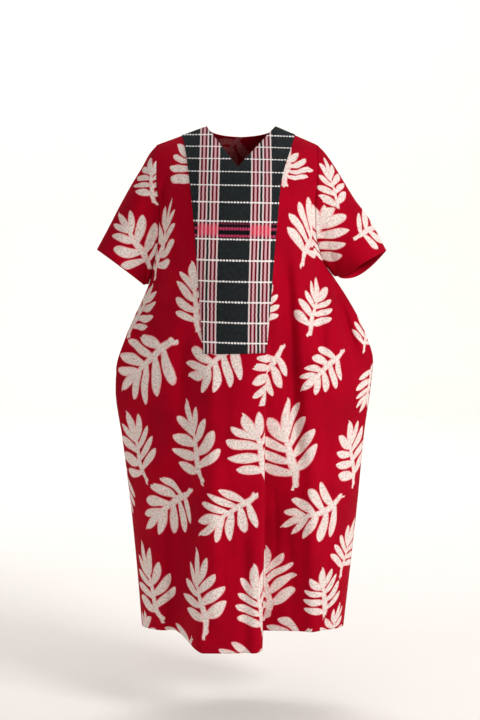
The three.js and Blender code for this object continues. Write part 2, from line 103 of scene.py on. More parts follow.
def makeCamera():
    data = bpy.data.cameras.new("photoCamera")
    data.sensor_fit = "VERTICAL"
    data.sensor_height = data.sensor_width = view["filmHeight"]
    data.lens = view["lens"]
    camera = addObject("photoCamera", data)
    camera.location = view["place"]
    camera.rotation_euler = (math.radians(90 - view["pitch"]), 0, 0)
    bpy.context.scene.camera = camera


# The form of the dress. level is the height in the cut, 0 at the shoulder line and below 0 further down.
# Pairs are right and left, front and back, or top and foot.
form = dict(
    length=1274, neckHalf=85, neckDrop=105, neckPointX=-8, backNeckDrop=24, fanFrom=-150,
    shoulderHalf=(207, 188), shoulderDrop=44, shoulderFade=320, underarm=388, underarmDrop=(388, 366),
    mouth=(-437, -611), mouthSpread=dict(front=-26, back=30),
    # the deep fold: its foot, how wide it is and where it spreads, how it rounds over, and how the hem steps
    foldHem=53, foldWidths=(17, 3), foldSpread=(-470, -650), foldRoundAcross=26, foldRoundDeep=30,
    roundColumns=5, stepRise=(-168, -92), hemShift=(13, -9),
    # behind it the cloth falls back: how deep, how far, between which levels, and where that eases again
    hollow=(36, 13), hollowReach=104, hollowLevels=(-330, -720), hollowEases=-1000,
    foldEnd=90,
)

# level, half width right, left, depth of the side edges front, back, depth of the middles front, back,
# how far the stepping side stands ahead, and bow and corner of the front's and the back's sections
bodyRows = [
    (0, 207, 188, 0, 0, 0, 0, 0, 2.4, 0.9, 2.4, 0.8),
    (-14, 207, 188, -17, 16, -24, 20, 0, 2.4, 0.9, 2.4, 0.8),
    (-45, 208, 188, -38, 34, -62, 50, 0, 2.4, 0.85, 2.4, 0.8),
    (-105, 207, 187, -57, 52, -123, 86, 0, 2.3, 0.8, 2.4, 0.8),
    (-185, 200, 182, -63, 60, -168, 108, 0, 2.3, 0.75, 2.5, 0.8),
    (-270, 203, 184, -56, 56, -183, 116, 0, 2.3, 0.75, 2.5, 0.8),
    (-345, 219, 202, -26, 34, -187, 118, 0, 2.2, 0.8, 2.4, 0.8),
    (-388, 231, 229, 8, 8, -188, 119, 0, 2.1, 0.85, 2.3, 0.85),
    (-435, 251, 261, 10, 10, -189, 120, 0, 2, 0.9, 2.2, 0.9),
    (-525, 290, 309, 10, 10, -189, 122, 0, 1.8, 1, 2, 0.95),
    (-605, 315, 333, 10, 10, -187, 124, -2, 1.8, 1, 2, 0.95),
    (-660, 318, 329, 14, 14, -183, 126, -6, 1.9, 1, 2, 0.95),
    (-780, 303, 314, 22, 22, -168, 130, -20, 2.3, 0.95, 2.2, 0.9),
    (-960, 283, 299, 30, 30, -139, 136, -46, 3.2, 0.8, 2.5, 0.85),
    (-1120, 269, 283, 36, 36, -108, 142, -73, 4.2, 0.7, 2.8, 0.8),
    (-1274, 258, 267, 42, 42, -74, 146, -104, 5, 0.6, 3, 0.75),
]
bodyColumns = dict(right=1, left=2, frontEdge=3, backEdge=4, front=5, back=6, step=7, frontBow=8,
                   frontCorner=9, backBow=10, backCorner=11)
# the panel's edges: level, and how far out the right one and the left one stand
panelRows = [(0, 146, 133), (-22, 139, 127), (-145, 121, 95), (-250, 111, 85), (-553, 91, 59)]

# Soft folds down the cloth: x at the top, x at the foot, from, to, width, depth. A ridge has a depth under 0.
frontFolds = [
    (-183, -196, -70, -380, 13, 30),
    (176, 202, -60, -620, 15, 14),
    (-158, -150, -215, -370, 16, 9),
    (-134, -128, -470, -1200, 24, 19),
    (-170, -176, -780, -1700, 18, 12),
    (-72, -60, -540, -1260, 24, -10),
    (8, 10, -940, -1600, 14, 7),
    (104, 142, -300, -860, 18, 24),
    (176, 182, -760, -1700, 20, -11),
    (228, 296, -390, -610, 12, 25),
    (-226, -282, -400, -610, 13, 16),
]
backFolds = [
    (-176, -192, -95, -360, 14, 9),
    (160, 174, -90, -340, 14, 8),
    (-190, -226, -690, -1900, 21, 22),
    (-112, -152, -420, -1900, 34, 34),
    (-30, -50, -230, -1900, 25, 24),
    (44, 42, -560, -1900, 21, 30),
    (112, 140, -350, -1900, 36, 36),
    (196, 232, -640, -1900, 22, 22),
]

# Lesser creases, each from one point to another: x and level of both ends, width, depth
frontCreases = [
    (-196, -150, -150, -330, 9, 3.2),
    (-206, -262, -140, -372, 7, 2.6),
    (-150, -70, -168, -190, 8, 2.4),
    (150, -66, 176, -200, 6, 2.4),
    (163, -86, 184, -236, 4, 1.8),
    (182, -212, 160, -352, 8, 2.6),
    (206, -352, 166, -440, 9, 2.8),
    (-214, -372, -160, -486, 10, 3.2),
    (-236, -430, -176, -560, 9, 2.6),
    (300, -560, 210, -640, 11, 3.2),
    (-306, -566, -216, -640, 11, 2.8),
    (-214, -660, -206, -860, 12, 3),
    (-96, -700, -92, -1020, 10, 2.4),
    (-22, -640, -18, -860, 12, -2.4),
    (92, -590, 104, -800, 9, 2.6),
    (214, -690, 222, -980, 13, 3.4),
    (262, -760, 250, -1100, 10, 2.6),
    (-240, -880, -232, -1180, 12, 3),
    (-128, -1000, -130, -1290, 11, 3),
    (-30, -1010, -26, -1200, 9, -2.2),
    (120, -960, 124, -1290, 12, 3.6),
    (216, -1040, 214, -1300, 10, 3),
    (82, -880, 84, -1160, 7, 2.4),
    (-190, -1080, -188, -1290, 8, -2.4),
]
backCreases = [
    (-190, -120, -120, -300, 10, 3),
    (-60, -60, -20, -230, 14, 2.6),
    (70, -50, 40, -260, 13, 2.4),
    (180, -110, 120, -290, 10, 3.2),
    (-214, -350, -150, -470, 10, 3.2),
    (212, -350, 150, -480, 10, 3),
    (-300, -560, -214, -650, 11, 3),
    (300, -560, 220, -640, 11, 3),
    (-80, -500, -86, -800, 12, 3),
    (10, -620, 4, -940, 11, 3),
    (84, -520, 96, -840, 12, 3.2),
    (-200, -900, -214, -1240, 11, 3.4),
    (-96, -900, -104, -1290, 10, 3),
    (-6, -1000, -4, -1280, 12, -3),
    (86, -980, 92, -1290, 10, 3.2),
    (186, -880, 196, -1220, 12, 3.4),
]

# Columns from the right side seam over the panel's part to the deep fold, along it, and on to the left seam
grid = dict(right=55, panel=72, fold=16, left=65, back=192, armhole=60, underarm=8, mouth=30, skirt=98,
            sleeve=44, bag=20)
coarse = dict(right=11, panel=18, fold=4, left=13, back=24)
# some coarse columns of the panel's part, and the x where each stands at the neck
neckStations = ([0, 4, 9, 15, 18], [-146, -85, -3, 85, 133])
foldStart = coarse["right"] + coarse["panel"]
foldFinish = foldStart + coarse["fold"]
mouthFirst = grid["armhole"] + grid["underarm"]
mouthLast = mouthFirst + grid["mouth"]
panelLast = mouthFirst + grid["mouth"] * 2 // 3
# folds, creases and where the slow waves start, for each side
softShapes = dict(front=(frontFolds, frontCreases, 0.4), back=(backFolds, backCreases, 2.3))


def body(column, level):
    return readTable(bodyRows, bodyColumns[column], level)


def halfWidth(x, level):
    return np.where(x < 0, body("right", level), body("left", level))


def shoulderLine(x):
    half = np.where(x < 0, *form["shoulderHalf"])
    neck = form["neckHalf"]
    return -form["shoulderDrop"] * np.clip((np.abs(x) - neck) / (half - neck), 0, 1)


def heightOf(x, level):
    share = np.clip(x / (2 * halfWidth(x, level)) + 0.5, 0, 1)
    underarm = mix(*form["underarmDrop"], share)
    upper = level * underarm / form["underarm"]
    lowerShare = (-form["underarm"] - level) / (form["length"] - form["underarm"])
    lower = -underarm - lowerShare * (form["length"] - underarm)
    straight = np.where(level > -form["underarm"], upper, lower)
    return straight + shoulderLine(x) * (1 - ease(level, 0, -form["shoulderFade"]))


def softFolds(folds, x, level):
    depth = np.zeros(np.broadcast(x, level).shape)
    for xFrom, xTo, start, end, width, deep in folds:
        run = (level - start) / (end - start)
        middle = mix(xFrom, xTo, run)
        ends = ease(level, start, start - form["foldEnd"]) * ease(level, end, end + form["foldEnd"])
        depth += np.where((run >= 0) & (run <= 1), deep * ends * np.exp(-((x - middle) / width) ** 2), 0)
    return depth


# A crease is deepest a third of the way along and dies out at both ends
def softCreases(creases, x, level):
    depth = np.zeros(np.broadcast(x, level).shape)
    for x0, z0, x1, z1, width, deep in creases:
        along = np.array([x1 - x0, z1 - z0], float)
        length = np.hypot(*along)
        along /= length
        run = ((x - x0) * along[0] + (level - z0) * along[1]) / length
        off = (x - x0) * along[1] - (level - z0) * along[0]
        off = off + 4 * np.sin(run * 5 + x0 * 0.3)
        swell = np.sin(np.pi * np.clip(run, 0, 1) ** 0.75) ** 1.2
        depth += deep * swell * np.exp(-(off / width) ** 2)
    return depth


# The cloth is never quite even: a few slow waves that don't line up
def unevenness(x, level, phase):
    waves = [(0.021, 0.009, 0.9), (-0.013, 0.017, 0.8), (0.034, -0.012, 0.45), (0.009, 0.031, 0.4),
             (0.052, 0.02, 0.22)]
    total = 0
    for k, (across, down, size) in enumerate(waves):
        total = total + size * np.sin(across * x + down * level + phase * (k + 1) * 1.7)
    return total


def mouthOpen(level):
    top, foot = form["mouth"]
    run = np.clip((level - top) / (foot - top), 0, 1)
    return np.sin(np.pi * run) ** 0.8


def foldLine(level):
    footLevel, footLeft = panelRows[-1][0], panelRows[-1][2]
    below = mix(footLeft, form["foldHem"], (footLevel - level) / (footLevel + form["length"]))
    return np.where(level > footLevel, readTable(panelRows, 2, np.maximum(level, footLevel)), below)


def foldWidth(level):
    return mix(*form["foldWidths"], ease(level, *form["foldSpread"]))


def edgeDepth(column, level):
    return np.where(level < -form["underarm"], body("frontEdge", level), body(column, level))


def foldGrowth(level):
    return np.clip(body("step", level) / bodyRows[-1][bodyColumns["step"]], 0, 1)


# What front and back share: how far out a point is, the bow of the section, its edge and what folds add
def section(side, x, level):
    folds, creases, phase = softShapes[side]
    across = np.clip(np.abs(x) / halfWidth(x, level), 0, 1)
    bow = (1 - across ** body(side + "Bow", level)) ** body(side + "Corner", level)
    edge = edgeDepth(side + "Edge", level) + form["mouthSpread"][side] * mouthOpen(level)
    soft = (softFolds(folds, x, level) + softCreases(creases, x, level)) * (1 - across**12)
    wave = unevenness(x, level, phase) * (1 - across**6)
    return across, bow, edge, (soft + wave) * np.minimum(1, -level / form["foldEnd"])


def frontPoint(x, level, stepShare):
    across, bow, edge, relief = section("front", x, level)
    rise = stepShare * ease(x, *form["stepRise"])
    middle = body("front", level) + body("step", level) * rise
    fromFold = x - foldLine(level)
    roundAcross = form["foldRoundAcross"]
    turn = np.clip((fromFold + roundAcross) / roundAcross, 0, 1)
    rounding = stepShare * foldGrowth(level) * form["foldRoundDeep"] * (1 - np.sqrt(1 - turn**2))
    deep = mix(*form["hollow"], ease(level, form["hollowEases"], -form["length"]))
    deep = deep * ease(level, *form["hollowLevels"])
    fallen = (1 - stepShare) * deep * np.exp(-(fromFold / form["hollowReach"]) ** 2)
    depth = edge + (middle - edge) * bow + rounding + relief + fallen * (1 - across**8)
    shift = mix(*form["hemShift"], rise) * foldGrowth(level) * (1 - across**8)
    return np.stack(np.broadcast_arrays(x, depth, heightOf(x, level) + shift), -1)


def backPoint(x, level):
    across, bow, edge, relief = section("back", x, level)
    depth = edge + (body("back", level) - edge) * bow - relief
    return np.stack(np.broadcast_arrays(x, depth, heightOf(x, level)), -1)


def frontTop(x):
    point, half = form["neckPointX"], form["neckHalf"]
    side = np.where(x < point, point + half, half - point)
    return -form["neckDrop"] * np.maximum(0, 1 - np.abs(x - point) / side)


def backTop(x):
    return -form["backNeckDrop"] * np.sqrt(np.maximum(0, 1 - (x / form["neckHalf"]) ** 2))


# The levels of the rows from each column's top edge down to the hem
def rowLevels(top):
    mouthTop, mouthFoot = form["mouth"]
    parts = [
        mix(top[:, None], -form["underarm"], (np.arange(grid["armhole"]) / grid["armhole"]) ** 1.25),
        mix(-form["underarm"], mouthTop, np.arange(grid["underarm"]) / grid["underarm"])[None, :],
        mix(mouthTop, mouthFoot, np.arange(grid["mouth"]) / grid["mouth"])[None, :],
        mix(mouthFoot, -form["length"], np.arange(grid["skirt"] + 1) / grid["skirt"])[None, :],
    ]
    return np.concatenate([np.broadcast_to(part, (len(top), part.shape[1])) for part in parts], 1)


def frontStation(k, level):
    right, panel = coarse["right"], coarse["panel"]
    roundAcross, roundColumns = form["foldRoundAcross"], form["roundColumns"]
    panelRight = -readTable(panelRows, 1, np.maximum(level, panelRows[-1][0]))
    line, width = foldLine(level), foldWidth(level)
    column = np.clip(k - right, 0, panel)
    first, last = neckStations[1][0], neckStations[1][-1]
    neckShare = (np.interp(column, *neckStations) - first) / (last - first)
    plain = panel - roundColumns
    turned = np.sin((np.clip(column - plain, 0, roundColumns) / roundColumns) * (math.pi / 2))
    lower = np.where(column < plain, mix(panelRight, line - roundAcross, column / plain),
                     line - roundAcross * (1 - turned))
    across = mix(mix(panelRight, line, neckShare), lower, ease(level, form["fanFrom"], form["foldSpread"][1]))
    side = mix(-body("right", level), panelRight, k / right)
    fold = line + width * (k - foldStart) / coarse["fold"]
    left = mix(line + width, body("left", level), (k - foldFinish) / coarse["left"])
    return np.select([k <= right, k <= foldStart, k <= foldFinish], [side, across, fold], left)


def makeFrontGrid():
    stops = np.cumsum([0] + [coarse[part] for part in ("right", "panel", "fold", "left")])
    stations = np.concatenate([[0]] + [
        np.linspace(stops[i], stops[i + 1], grid[part] + 1)[1:]
        for i, part in enumerate(("right", "panel", "fold", "left"))])
    # the top edge hangs on x and x on the top edge, so they are worked out in turn until both are still
    top, rounds = np.zeros(len(stations)), 20
    for _ in range(rounds):
        top = frontTop(frontStation(stations, top))
    levels = rowLevels(top)
    k = stations[:, None] + 0 * levels
    share = 1 - np.clip((k - foldStart) / coarse["fold"], 0, 1)
    inFold = (share > 0) & (share < 1)
    points = frontPoint(frontStation(k, levels), levels, np.where(share == 1, 1.0, 0.0))
    ahead = frontPoint(frontStation(foldStart + 0 * levels, levels), levels, 1.0)
    behind = frontPoint(frontStation(foldFinish + 0 * levels, levels), levels, 0.0)
    flank = mix(behind, ahead, share[..., None])
    turned = mix(points, flank, ease(levels, *form["foldSpread"])[..., None])
    return np.where(inFold[..., None], turned, points), levels


def backStation(k, level):
    third = coarse["back"] / 3
    rightHalf, leftHalf = form["shoulderHalf"]
    neck = form["neckHalf"]
    top = np.interp(k, [0, third, 2 * third, 3 * third], [-rightHalf, -neck, neck, leftHalf])
    topShare = (top + rightHalf) / (leftHalf + rightHalf)
    share = mix(topShare, k / coarse["back"], ease(level, form["fanFrom"], form["foldSpread"][1]))
    return mix(-body("right", level), body("left", level), share)


def makeBackGrid():
    stations = np.linspace(0, coarse["back"], grid["back"] + 1)
    levels = rowLevels(backTop(backStation(stations, np.zeros(len(stations)))))
    return backPoint(backStation(stations[:, None] + 0 * levels, levels), levels)


# Sleeves: out from the middle and height along the top, the cuff's tip and foot, and how full the cuff is
sleeves = dict(
    right=dict(
        top=[(207, -44), (227, -67), (245, -99), (273, -144), (303, -197), (325, -239), (360, -303)],
        tip=(360, 4, -303), foot=(243, 9, -392), bulge=(56, 60), drop=(-10, 5),
        creases=[(0.1, 0.16, 0.9, 0.34, 0.05, 2.6), (0.02, 0.3, 0.7, 0.52, 0.05, 3.2),
                 (0.05, 0.46, 0.8, 0.4, 0.05, -2.2), (0.0, 0.66, 0.75, 0.6, 0.05, 3),
                 (0.1, 0.82, 0.95, 0.7, 0.045, 2.4)],
    ),
    left=dict(
        top=[(188, -44), (208, -64), (233, -99), (258, -139), (284, -180), (321, -229), (363, -305)],
        tip=(363, 4, -305), foot=(250, 9, -374), bulge=(56, 60), drop=(-8, 27),
        creases=[(0.05, 0.18, 0.8, 0.3, 0.05, 2.4), (0.02, 0.34, 0.85, 0.5, 0.05, 3),
                 (0.1, 0.52, 0.9, 0.42, 0.04, -2), (0.0, 0.62, 0.8, 0.64, 0.05, 3),
                 (0.15, 0.8, 0.95, 0.72, 0.045, 2.4)],
    ),
)


# A smooth path through points, read at even shares of its length
def smoothPath(points, shares):
    points = np.array(points, float)
    padded = np.vstack([2 * points[0] - points[1], points, 2 * points[-1] - points[-2]])
    fine = []
    for k in range(1, len(padded) - 2):
        a, b, c, d = padded[k - 1:k + 3]
        t = np.linspace(0, 1, 24, endpoint=k == len(padded) - 3)[:, None]
        fine.append(0.5 * (2 * b + (c - a) * t + (2 * a - 5 * b + 4 * c - d) * t**2
                           + (3 * b - a - 3 * c + d) * t**3))
    fine = np.vstack(fine)
    run = runAlong(fine)
    return np.stack([np.interp(shares * run[-1], run, fine[:, i]) for i in range(fine.shape[1])], -1)


def makeSleeveGrid(side, sign, front, back):
    size = sleeves[side]
    column = 0 if sign < 0 else -1
    rows = grid["armhole"]
    start = np.concatenate([front[column, :rows + 1], back[column, :rows][::-1]])
    down = np.concatenate([np.arange(rows + 1), np.arange(rows)[::-1]]) / rows
    ahead = np.arange(2 * rows + 1) <= rows
    tip, foot = (np.array([sign * x, y, z], float) for x, y, z in (size["tip"], size["foot"]))
    swell = np.sin(np.pi * down) ** 0.85
    end = mix(tip, foot, down[:, None])
    end[:, 1] += np.where(ahead, -size["bulge"][0], size["bulge"][1]) * swell
    end[:, 2] -= np.where(ahead, *size["drop"]) * swell
    shares = np.linspace(0, 1, grid["sleeve"] + 1)
    top = smoothPath([(sign * out, z) for out, z in size["top"]], shares)
    straight = mix(start[0][None, :], tip[None, :], shares[:, None])
    bend = np.stack([top[:, 0] - straight[:, 0], 0 * shares, top[:, 1] - straight[:, 2]], -1)
    points = mix(start[:, None, :], end[:, None, :], shares[None, :, None])
    points = points + bend[None] * ((1 - down) ** 1.4)[:, None, None]
    # creases run out from the armhole: share along the sleeve, share round it, for both ends, width, depth
    turned = np.linspace(0, 1, len(down))[:, None]
    depth = np.zeros(points.shape[:2])
    for s0, r0, s1, r1, width, deep in size["creases"]:
        run = np.clip((shares[None, :] - s0) / (s1 - s0), 0, 1)
        middle = mix(r0, r1, run) + 0.008 * np.sin(run * 6 + r0 * 9)
        swellNow = np.sin(np.pi * run ** 0.6) ** 1.1 * (run > 0) * (run < 1)
        depth += deep * swellNow * np.exp(-((turned - middle) / width) ** 2)
    depth += 0.8 * np.sin(turned * 21 + shares * 5 + sign) * np.sin(np.pi * shares) * np.sin(np.pi * turned)
    points = points - gridNormals(points, sign > 0) * depth[..., None]
    # the columns start at the underarm and go up the back, over the top and down the front
    return points[np.r_[rows:2 * rows, 0:rows + 1]]


def gridNormals(points, flip):
    across = np.gradient(points, axis=0)
    if np.allclose(points[0], points[-1]):
        across[0] = across[-1] = (points[1] - points[-2]) / 2
    down = np.gradient(points, axis=1)
    normals = np.cross(down, across)
    normals /= np.maximum(np.linalg.norm(normals, axis=-1, keepdims=True), 1e-9)
    return -normals if flip else normals


# Pocket bags hang inwards and down from the mouths in the side seams
bags = dict(x=203, y=-8, z=-692, reach=58, thick=19, lean=0.42, bulge=8, mouthGap=1.1, inside=3.4,
            frontColumns=5, backColumns=8, dome=(0.85, 0.6, 0.3, 0.01))


def makeBagGrid(sign):
    rows = grid["mouth"]

    # the mouth's side of the front or the back, some columns in from the seam and clear of the cloth
    def mouthSide(points, flip, column, clear):
        place = (column if sign < 0 else -1 - column, slice(mouthFirst, mouthLast + 1))
        return points[place] - gridNormals(points, flip)[place] * clear

    def ring(step, clear):
        ahead = mouthSide(front, False, step * bags["frontColumns"], clear)
        behind = mouthSide(back, True, step * bags["backColumns"], clear)
        ends = (ahead + behind) / 2
        return np.concatenate([ends[:1], ahead[1:rows], ends[-1:], behind[1:rows][::-1], ends[:1]])

    turn = np.arange(2 * rows + 1) / (2 * rows) * 2 * math.pi
    reach = unit(np.array([-sign, 0, bags["lean"]])) * bags["reach"]
    foot = np.array([sign * bags["x"], bags["y"], bags["z"]]) + np.cos(turn)[:, None] * reach
    foot[:, 1] -= bags["thick"] * np.sin(turn)
    start = ring(1, bags["inside"])
    tube = mix(start[:, None, :], foot[:, None, :], np.linspace(0, 1, grid["bag"] + 1)[None, :, None])
    centre = foot[:-1].mean(0)
    down = unit(centre - start[:-1].mean(0))
    # the end closes in a soft dome, with its smallest ring under a millimetre across
    dome = [centre + (foot - centre) * size + down * bags["bulge"] * math.sqrt(1 - size**2)
            for size in bags["dome"]]
    return np.concatenate([ring(0, bags["mouthGap"])[:, None], tube, np.stack(dome, 1)], 1)


# Distance over a grid along one of its axes, measured square to the way given
def squareRun(points, way, axis):
    steps = np.diff(points, axis=axis)
    slanted = (steps * way).sum(-1)
    return addedUp(np.sqrt(np.maximum((steps**2).sum(-1) - slanted**2, 0)), axis)


# The cloth's own chart, in millimetres: across along each row, and down square to the rows, so that the
# print isn't slanted. It is true to x and z at one column and row.
def clothChart(points, column, row):
    level = np.array([1, 1, 0])
    u = runAlong(points * level)
    rowWay = np.gradient(points, axis=0) * level
    rowWay /= np.maximum(np.linalg.norm(rowWay, axis=-1, keepdims=True), 1e-9)
    v = squareRun(points, rowWay[:, 1:], 1)
    return u - u[column] + points[column, row, 0], v[:, row][:, None] - v + points[column, row, 2]


# The same for a sleeve: out along the arm, and square to that round it from the top
def sleeveChart(points):
    top = grid["armhole"]
    arm = unit(points[top, -1] - points[top, 0])
    u = squareRun(points, arm, 0)
    return u - u[top], (points * arm).sum(-1)


# A grid of points as a mesh, with its chart and its places in the leaves written to the face corners
def makeSheet(name, points, flip, closedRing=False, chartName="clothChart", chart=None, places=None,
              capped=False):
    columns, rows = points.shape[:2]
    wrap = columns - 1 if closedRing else columns
    i, j = np.meshgrid(np.arange(columns - 1), np.arange(rows - 1), indexing="ij")
    corners = [(i, j), (i, j + 1), (i + 1, j + 1), (i + 1, j)]
    if flip:
        corners = corners[::-1]
    faces = np.stack([(a % wrap) * rows + b for a, b in corners], -1).reshape(-1, 4).tolist()
    if capped:
        cap = [k * rows + rows - 1 for k in range(wrap)]
        faces.append(cap if flip else cap[::-1])
    mesh = bpy.data.meshes.new(name)
    mesh.from_pydata((points[:wrap].reshape(-1, 3) * mm).tolist(), [], faces)
    layers = {}
    if chart:
        layers[chartName] = np.stack([np.stack([c[a, b] for c in chart], -1) for a, b in corners], -2)
    if places:
        layers["leafPlace"] = places(corners)
    for layer, values in layers.items():
        mesh.uv_layers.new(name=layer).data.foreach_set("uv", values.astype(np.float32).reshape(-1))
    mesh.validate()
    return addMesh(name, mesh)


# The leaves of the print: foot and tip of each leaf as it shows on the dress, x and z, and how wide it opens.
# A leaf partly under the panel, in a fold or past the hem is whole, and only part of it shows. The last word
# says which side of the deep fold a leaf belongs to.
frontLeaves = [
    (-101, -158, -131, -24, 1.0, "both"),
    (-212, -379, -168, -165, 0.75, "both"),
    (-104, -492, -124, -324, 1.2, "both"),
    (-282, -524, -219, -380, 1.2, "both"),
    (-161, -520, -306, -658, 1.15, "both"),
    (19, -508, -128, -613, 1.15, "both"),
    (103, -529, 42, -676, 1.2, "both"),
    (52, -501, 60, -358, 1.1, "both"),
    (166, -512, 186, -369, 1.25, "both"),
    (146, -342, 200, -184, 1.4, "both"),
    (103, -152, 123, -48, 1.5, "both"),
    (254, -549, 148, -647, 1.3, "both"),
    (342, -585, 300, -719, 1.1, "both"),
    (307, -553, 341, -437, 1.1, "both"),
    (-232, -890, -290, -705, 1.15, "both"),
    (-89, -867, -132, -661, 1.0, "both"),
    (67, -861, 6, -679, 1.15, "ahead"),
    (131, -884, 106, -661, 1.1, "behind"),
    (287, -900, 262, -724, 1.2, "both"),
    (-119, -875, -237, -1005, 1.1, "both"),
    (40, -879, -101, -992, 1.2, "ahead"),
    (257, -917, 88, -986, 1.2, "behind"),
    (-292, -862, -310, -1023, 1.0, "both"),
    (-194, -1238, -254, -1042, 1.05, "both"),
    (-84, -1248, -115, -1024, 1.0, "both"),
    (60, -1241, 29, -1060, 1.15, "ahead"),
    (63, -1221, 65, -1033, 1.25, "behind"),
    (214, -1238, 196, -1085, 1.2, "both"),
    (220, -1332, 251, -1190, 1.0, "both"),
    (249, -1137, 288, -989, 1.2, "both"),
    (-118, -1252, -205, -1368, 1.15, "ahead"),
    (-214, -1396, -246, -1206, 0.9, "both"),
    (52, -1276, -85, -1367, 1.2, "ahead"),
    (180, -1248, 30, -1340, 1.2, "behind"),
]
sleeveLeaves = dict(
    right=[(-210, -188, -237, -68, "front", 1.35), (-227, -353, -278, -214, "front", 1.05),
           (-214, -190, -240, -90, "back", 1.3), (-250, -350, -300, -210, "back", 1.25)],
    left=[(238, -216, 218, -66, "front", 0.9), (275, -280, 425, -192, "front", 0.85),
          (146, -346, 204, -186, "front", 1.4),
          (228, -200, 216, -80, "back", 1.3), (300, -330, 268, -200, "back", 1.25)],
)
backPrint = dict(rowPitch=186, columnPitch=160, firstRow=-62, rows=8, columns=(-4, 5), rowShift=0.37,
                 aside=40, length=204, lean=9, tiltedLength=176, tilt=46, seed=11, strayAcross=7, strayUp=8,
                 strayTurn=6, widths=(0.9, 1.08))


# The point of a grid that shows nearest to x and z, of those that may be used
def nearestPoint(points, usable, x, z):
    distance = (points[..., 0] - x) ** 2 + (points[..., 2] - z) ** 2 + np.where(usable, 0, 1e9)
    return np.unravel_index(np.argmin(distance), distance.shape)


# A point is past an edge when it shows farther than this from the cloth
pastEdge = 8


# The point of the cloth's own chart that shows at x and z. Past an edge the chart goes on straight.
def placeOnChart(points, chart, usable, x, z):
    nearest = nearestPoint(points, usable, x, z)
    offset = np.array([x - points[nearest][0], z - points[nearest][2]])
    if np.hypot(*offset) < pastEdge:
        offset = offset * 0
    return np.array([chart[0][nearest], chart[1][nearest]]) + offset


# A leaf's foot and tip on a sleeve's chart, which is turned and slanted against the view
def placeAslant(points, chart, usable, foot, tip):
    foot, tip = np.array(foot, float), np.array(tip, float)
    i, j = nearestPoint(points, usable, *mix(foot, tip, 0.1))
    i = min(max(i, 2), points.shape[0] - 3)
    j = min(max(j, 2), points.shape[1] - 3)

    def slopes(values):
        return [values[i + 2, j] - values[i - 2, j], values[i, j + 2] - values[i, j - 2]]

    shown = np.array([slopes(points[..., 0]), slopes(points[..., 2])])
    turn = np.array([slopes(c) for c in chart]) @ np.linalg.inv(shown)
    start = np.array([c[i, j] for c in chart])
    return start + turn @ (foot - points[i, j, ::2]), start + turn @ (tip - points[i, j, ::2])


def backLeafRows():
    given = backPrint
    rng = np.random.default_rng(given["seed"])
    leaves = []

    def stray(name):
        return rng.uniform(-given[name], given[name])

    for row in range(given["rows"]):
        z = given["firstRow"] - row * given["rowPitch"]
        shift = (row % 4) * given["rowShift"] * given["columnPitch"]
        for column in range(*given["columns"]):
            x = column * given["columnPitch"] + shift - given["aside"] + stray("strayAcross")
            middle = np.array([x, z + stray("strayUp")])
            if row % 2:
                angle = math.radians(stray("lean"))
                half = given["length"] / 2 * np.array([math.sin(angle), math.cos(angle)])
            else:
                angle = math.radians(given["tilt"] + stray("strayTurn"))
                half = given["tiltedLength"] / 2 * np.array([-math.cos(angle), -math.sin(angle)])
            leaves.append((middle - half, middle + half, rng.uniform(*given["widths"]), "both"))
    return leaves


# Each face takes its nearest leaf, and its corners keep their place in that leaf: across and up in lengths
# of the leaf, with a base added to the height, and a stride for every leaf before it in the list. A face
# that no leaf takes lies well aside of the first leaf. Without a deep fold every column is ahead of it.
leafStride, leafBase = 8, 2
noLeaf = (3.0, 2.0)
noFold = 10**6
leafReach = dict(across=0.36, up=0.53, most=1.25)


def leafPlaces(chart, leaves, foldColumn):
    def places(corners):
        u, v = (np.stack([c[a, b] for a, b in corners], -1) for c in chart)
        best = np.full(u.shape[:-1], leafReach["most"])
        across, up = (np.full(u.shape, value) for value in noLeaf)
        ahead = corners[0][0] < foldColumn
        for index, (foot, tip, width, part) in enumerate(leaves):
            length = np.hypot(*(tip - foot))
            axis = (tip - foot) / length

            def local(us, vs):
                return (((us - foot[0]) * axis[1] - (vs - foot[1]) * axis[0]) / (length * width),
                        ((us - foot[0]) * axis[0] + (vs - foot[1]) * axis[1]) / length)

            x, y = local(u.mean(-1), v.mean(-1))
            reach = np.maximum(np.abs(x) / leafReach["across"], np.abs(y - 0.5) / leafReach["up"])
            mine = reach < best
            if part != "both":
                mine = mine & (ahead if part == "ahead" else ~ahead)
            best = np.where(mine, reach, best)
            xs, ys = local(u, v)
            across = np.where(mine[..., None], xs, across)
            up = np.where(mine[..., None], ys + leafBase + leafStride * index, up)
        return np.stack([across, up], -1)
    return places


# Paints are given as they look on a screen, 0 to 255
def paint(red, green, blue):
    def linear(value):
        value /= 255
        return value / 12.92 if value <= 0.04045 else ((value + 0.055) / 1.055) ** 2.4
    return (linear(red), linear(green), linear(blue), 1)


def onTwo(operation):
    return lambda self, other: self.maths(operation, self, other)


def onOne(operation):
    return lambda self: self.maths(operation, self)


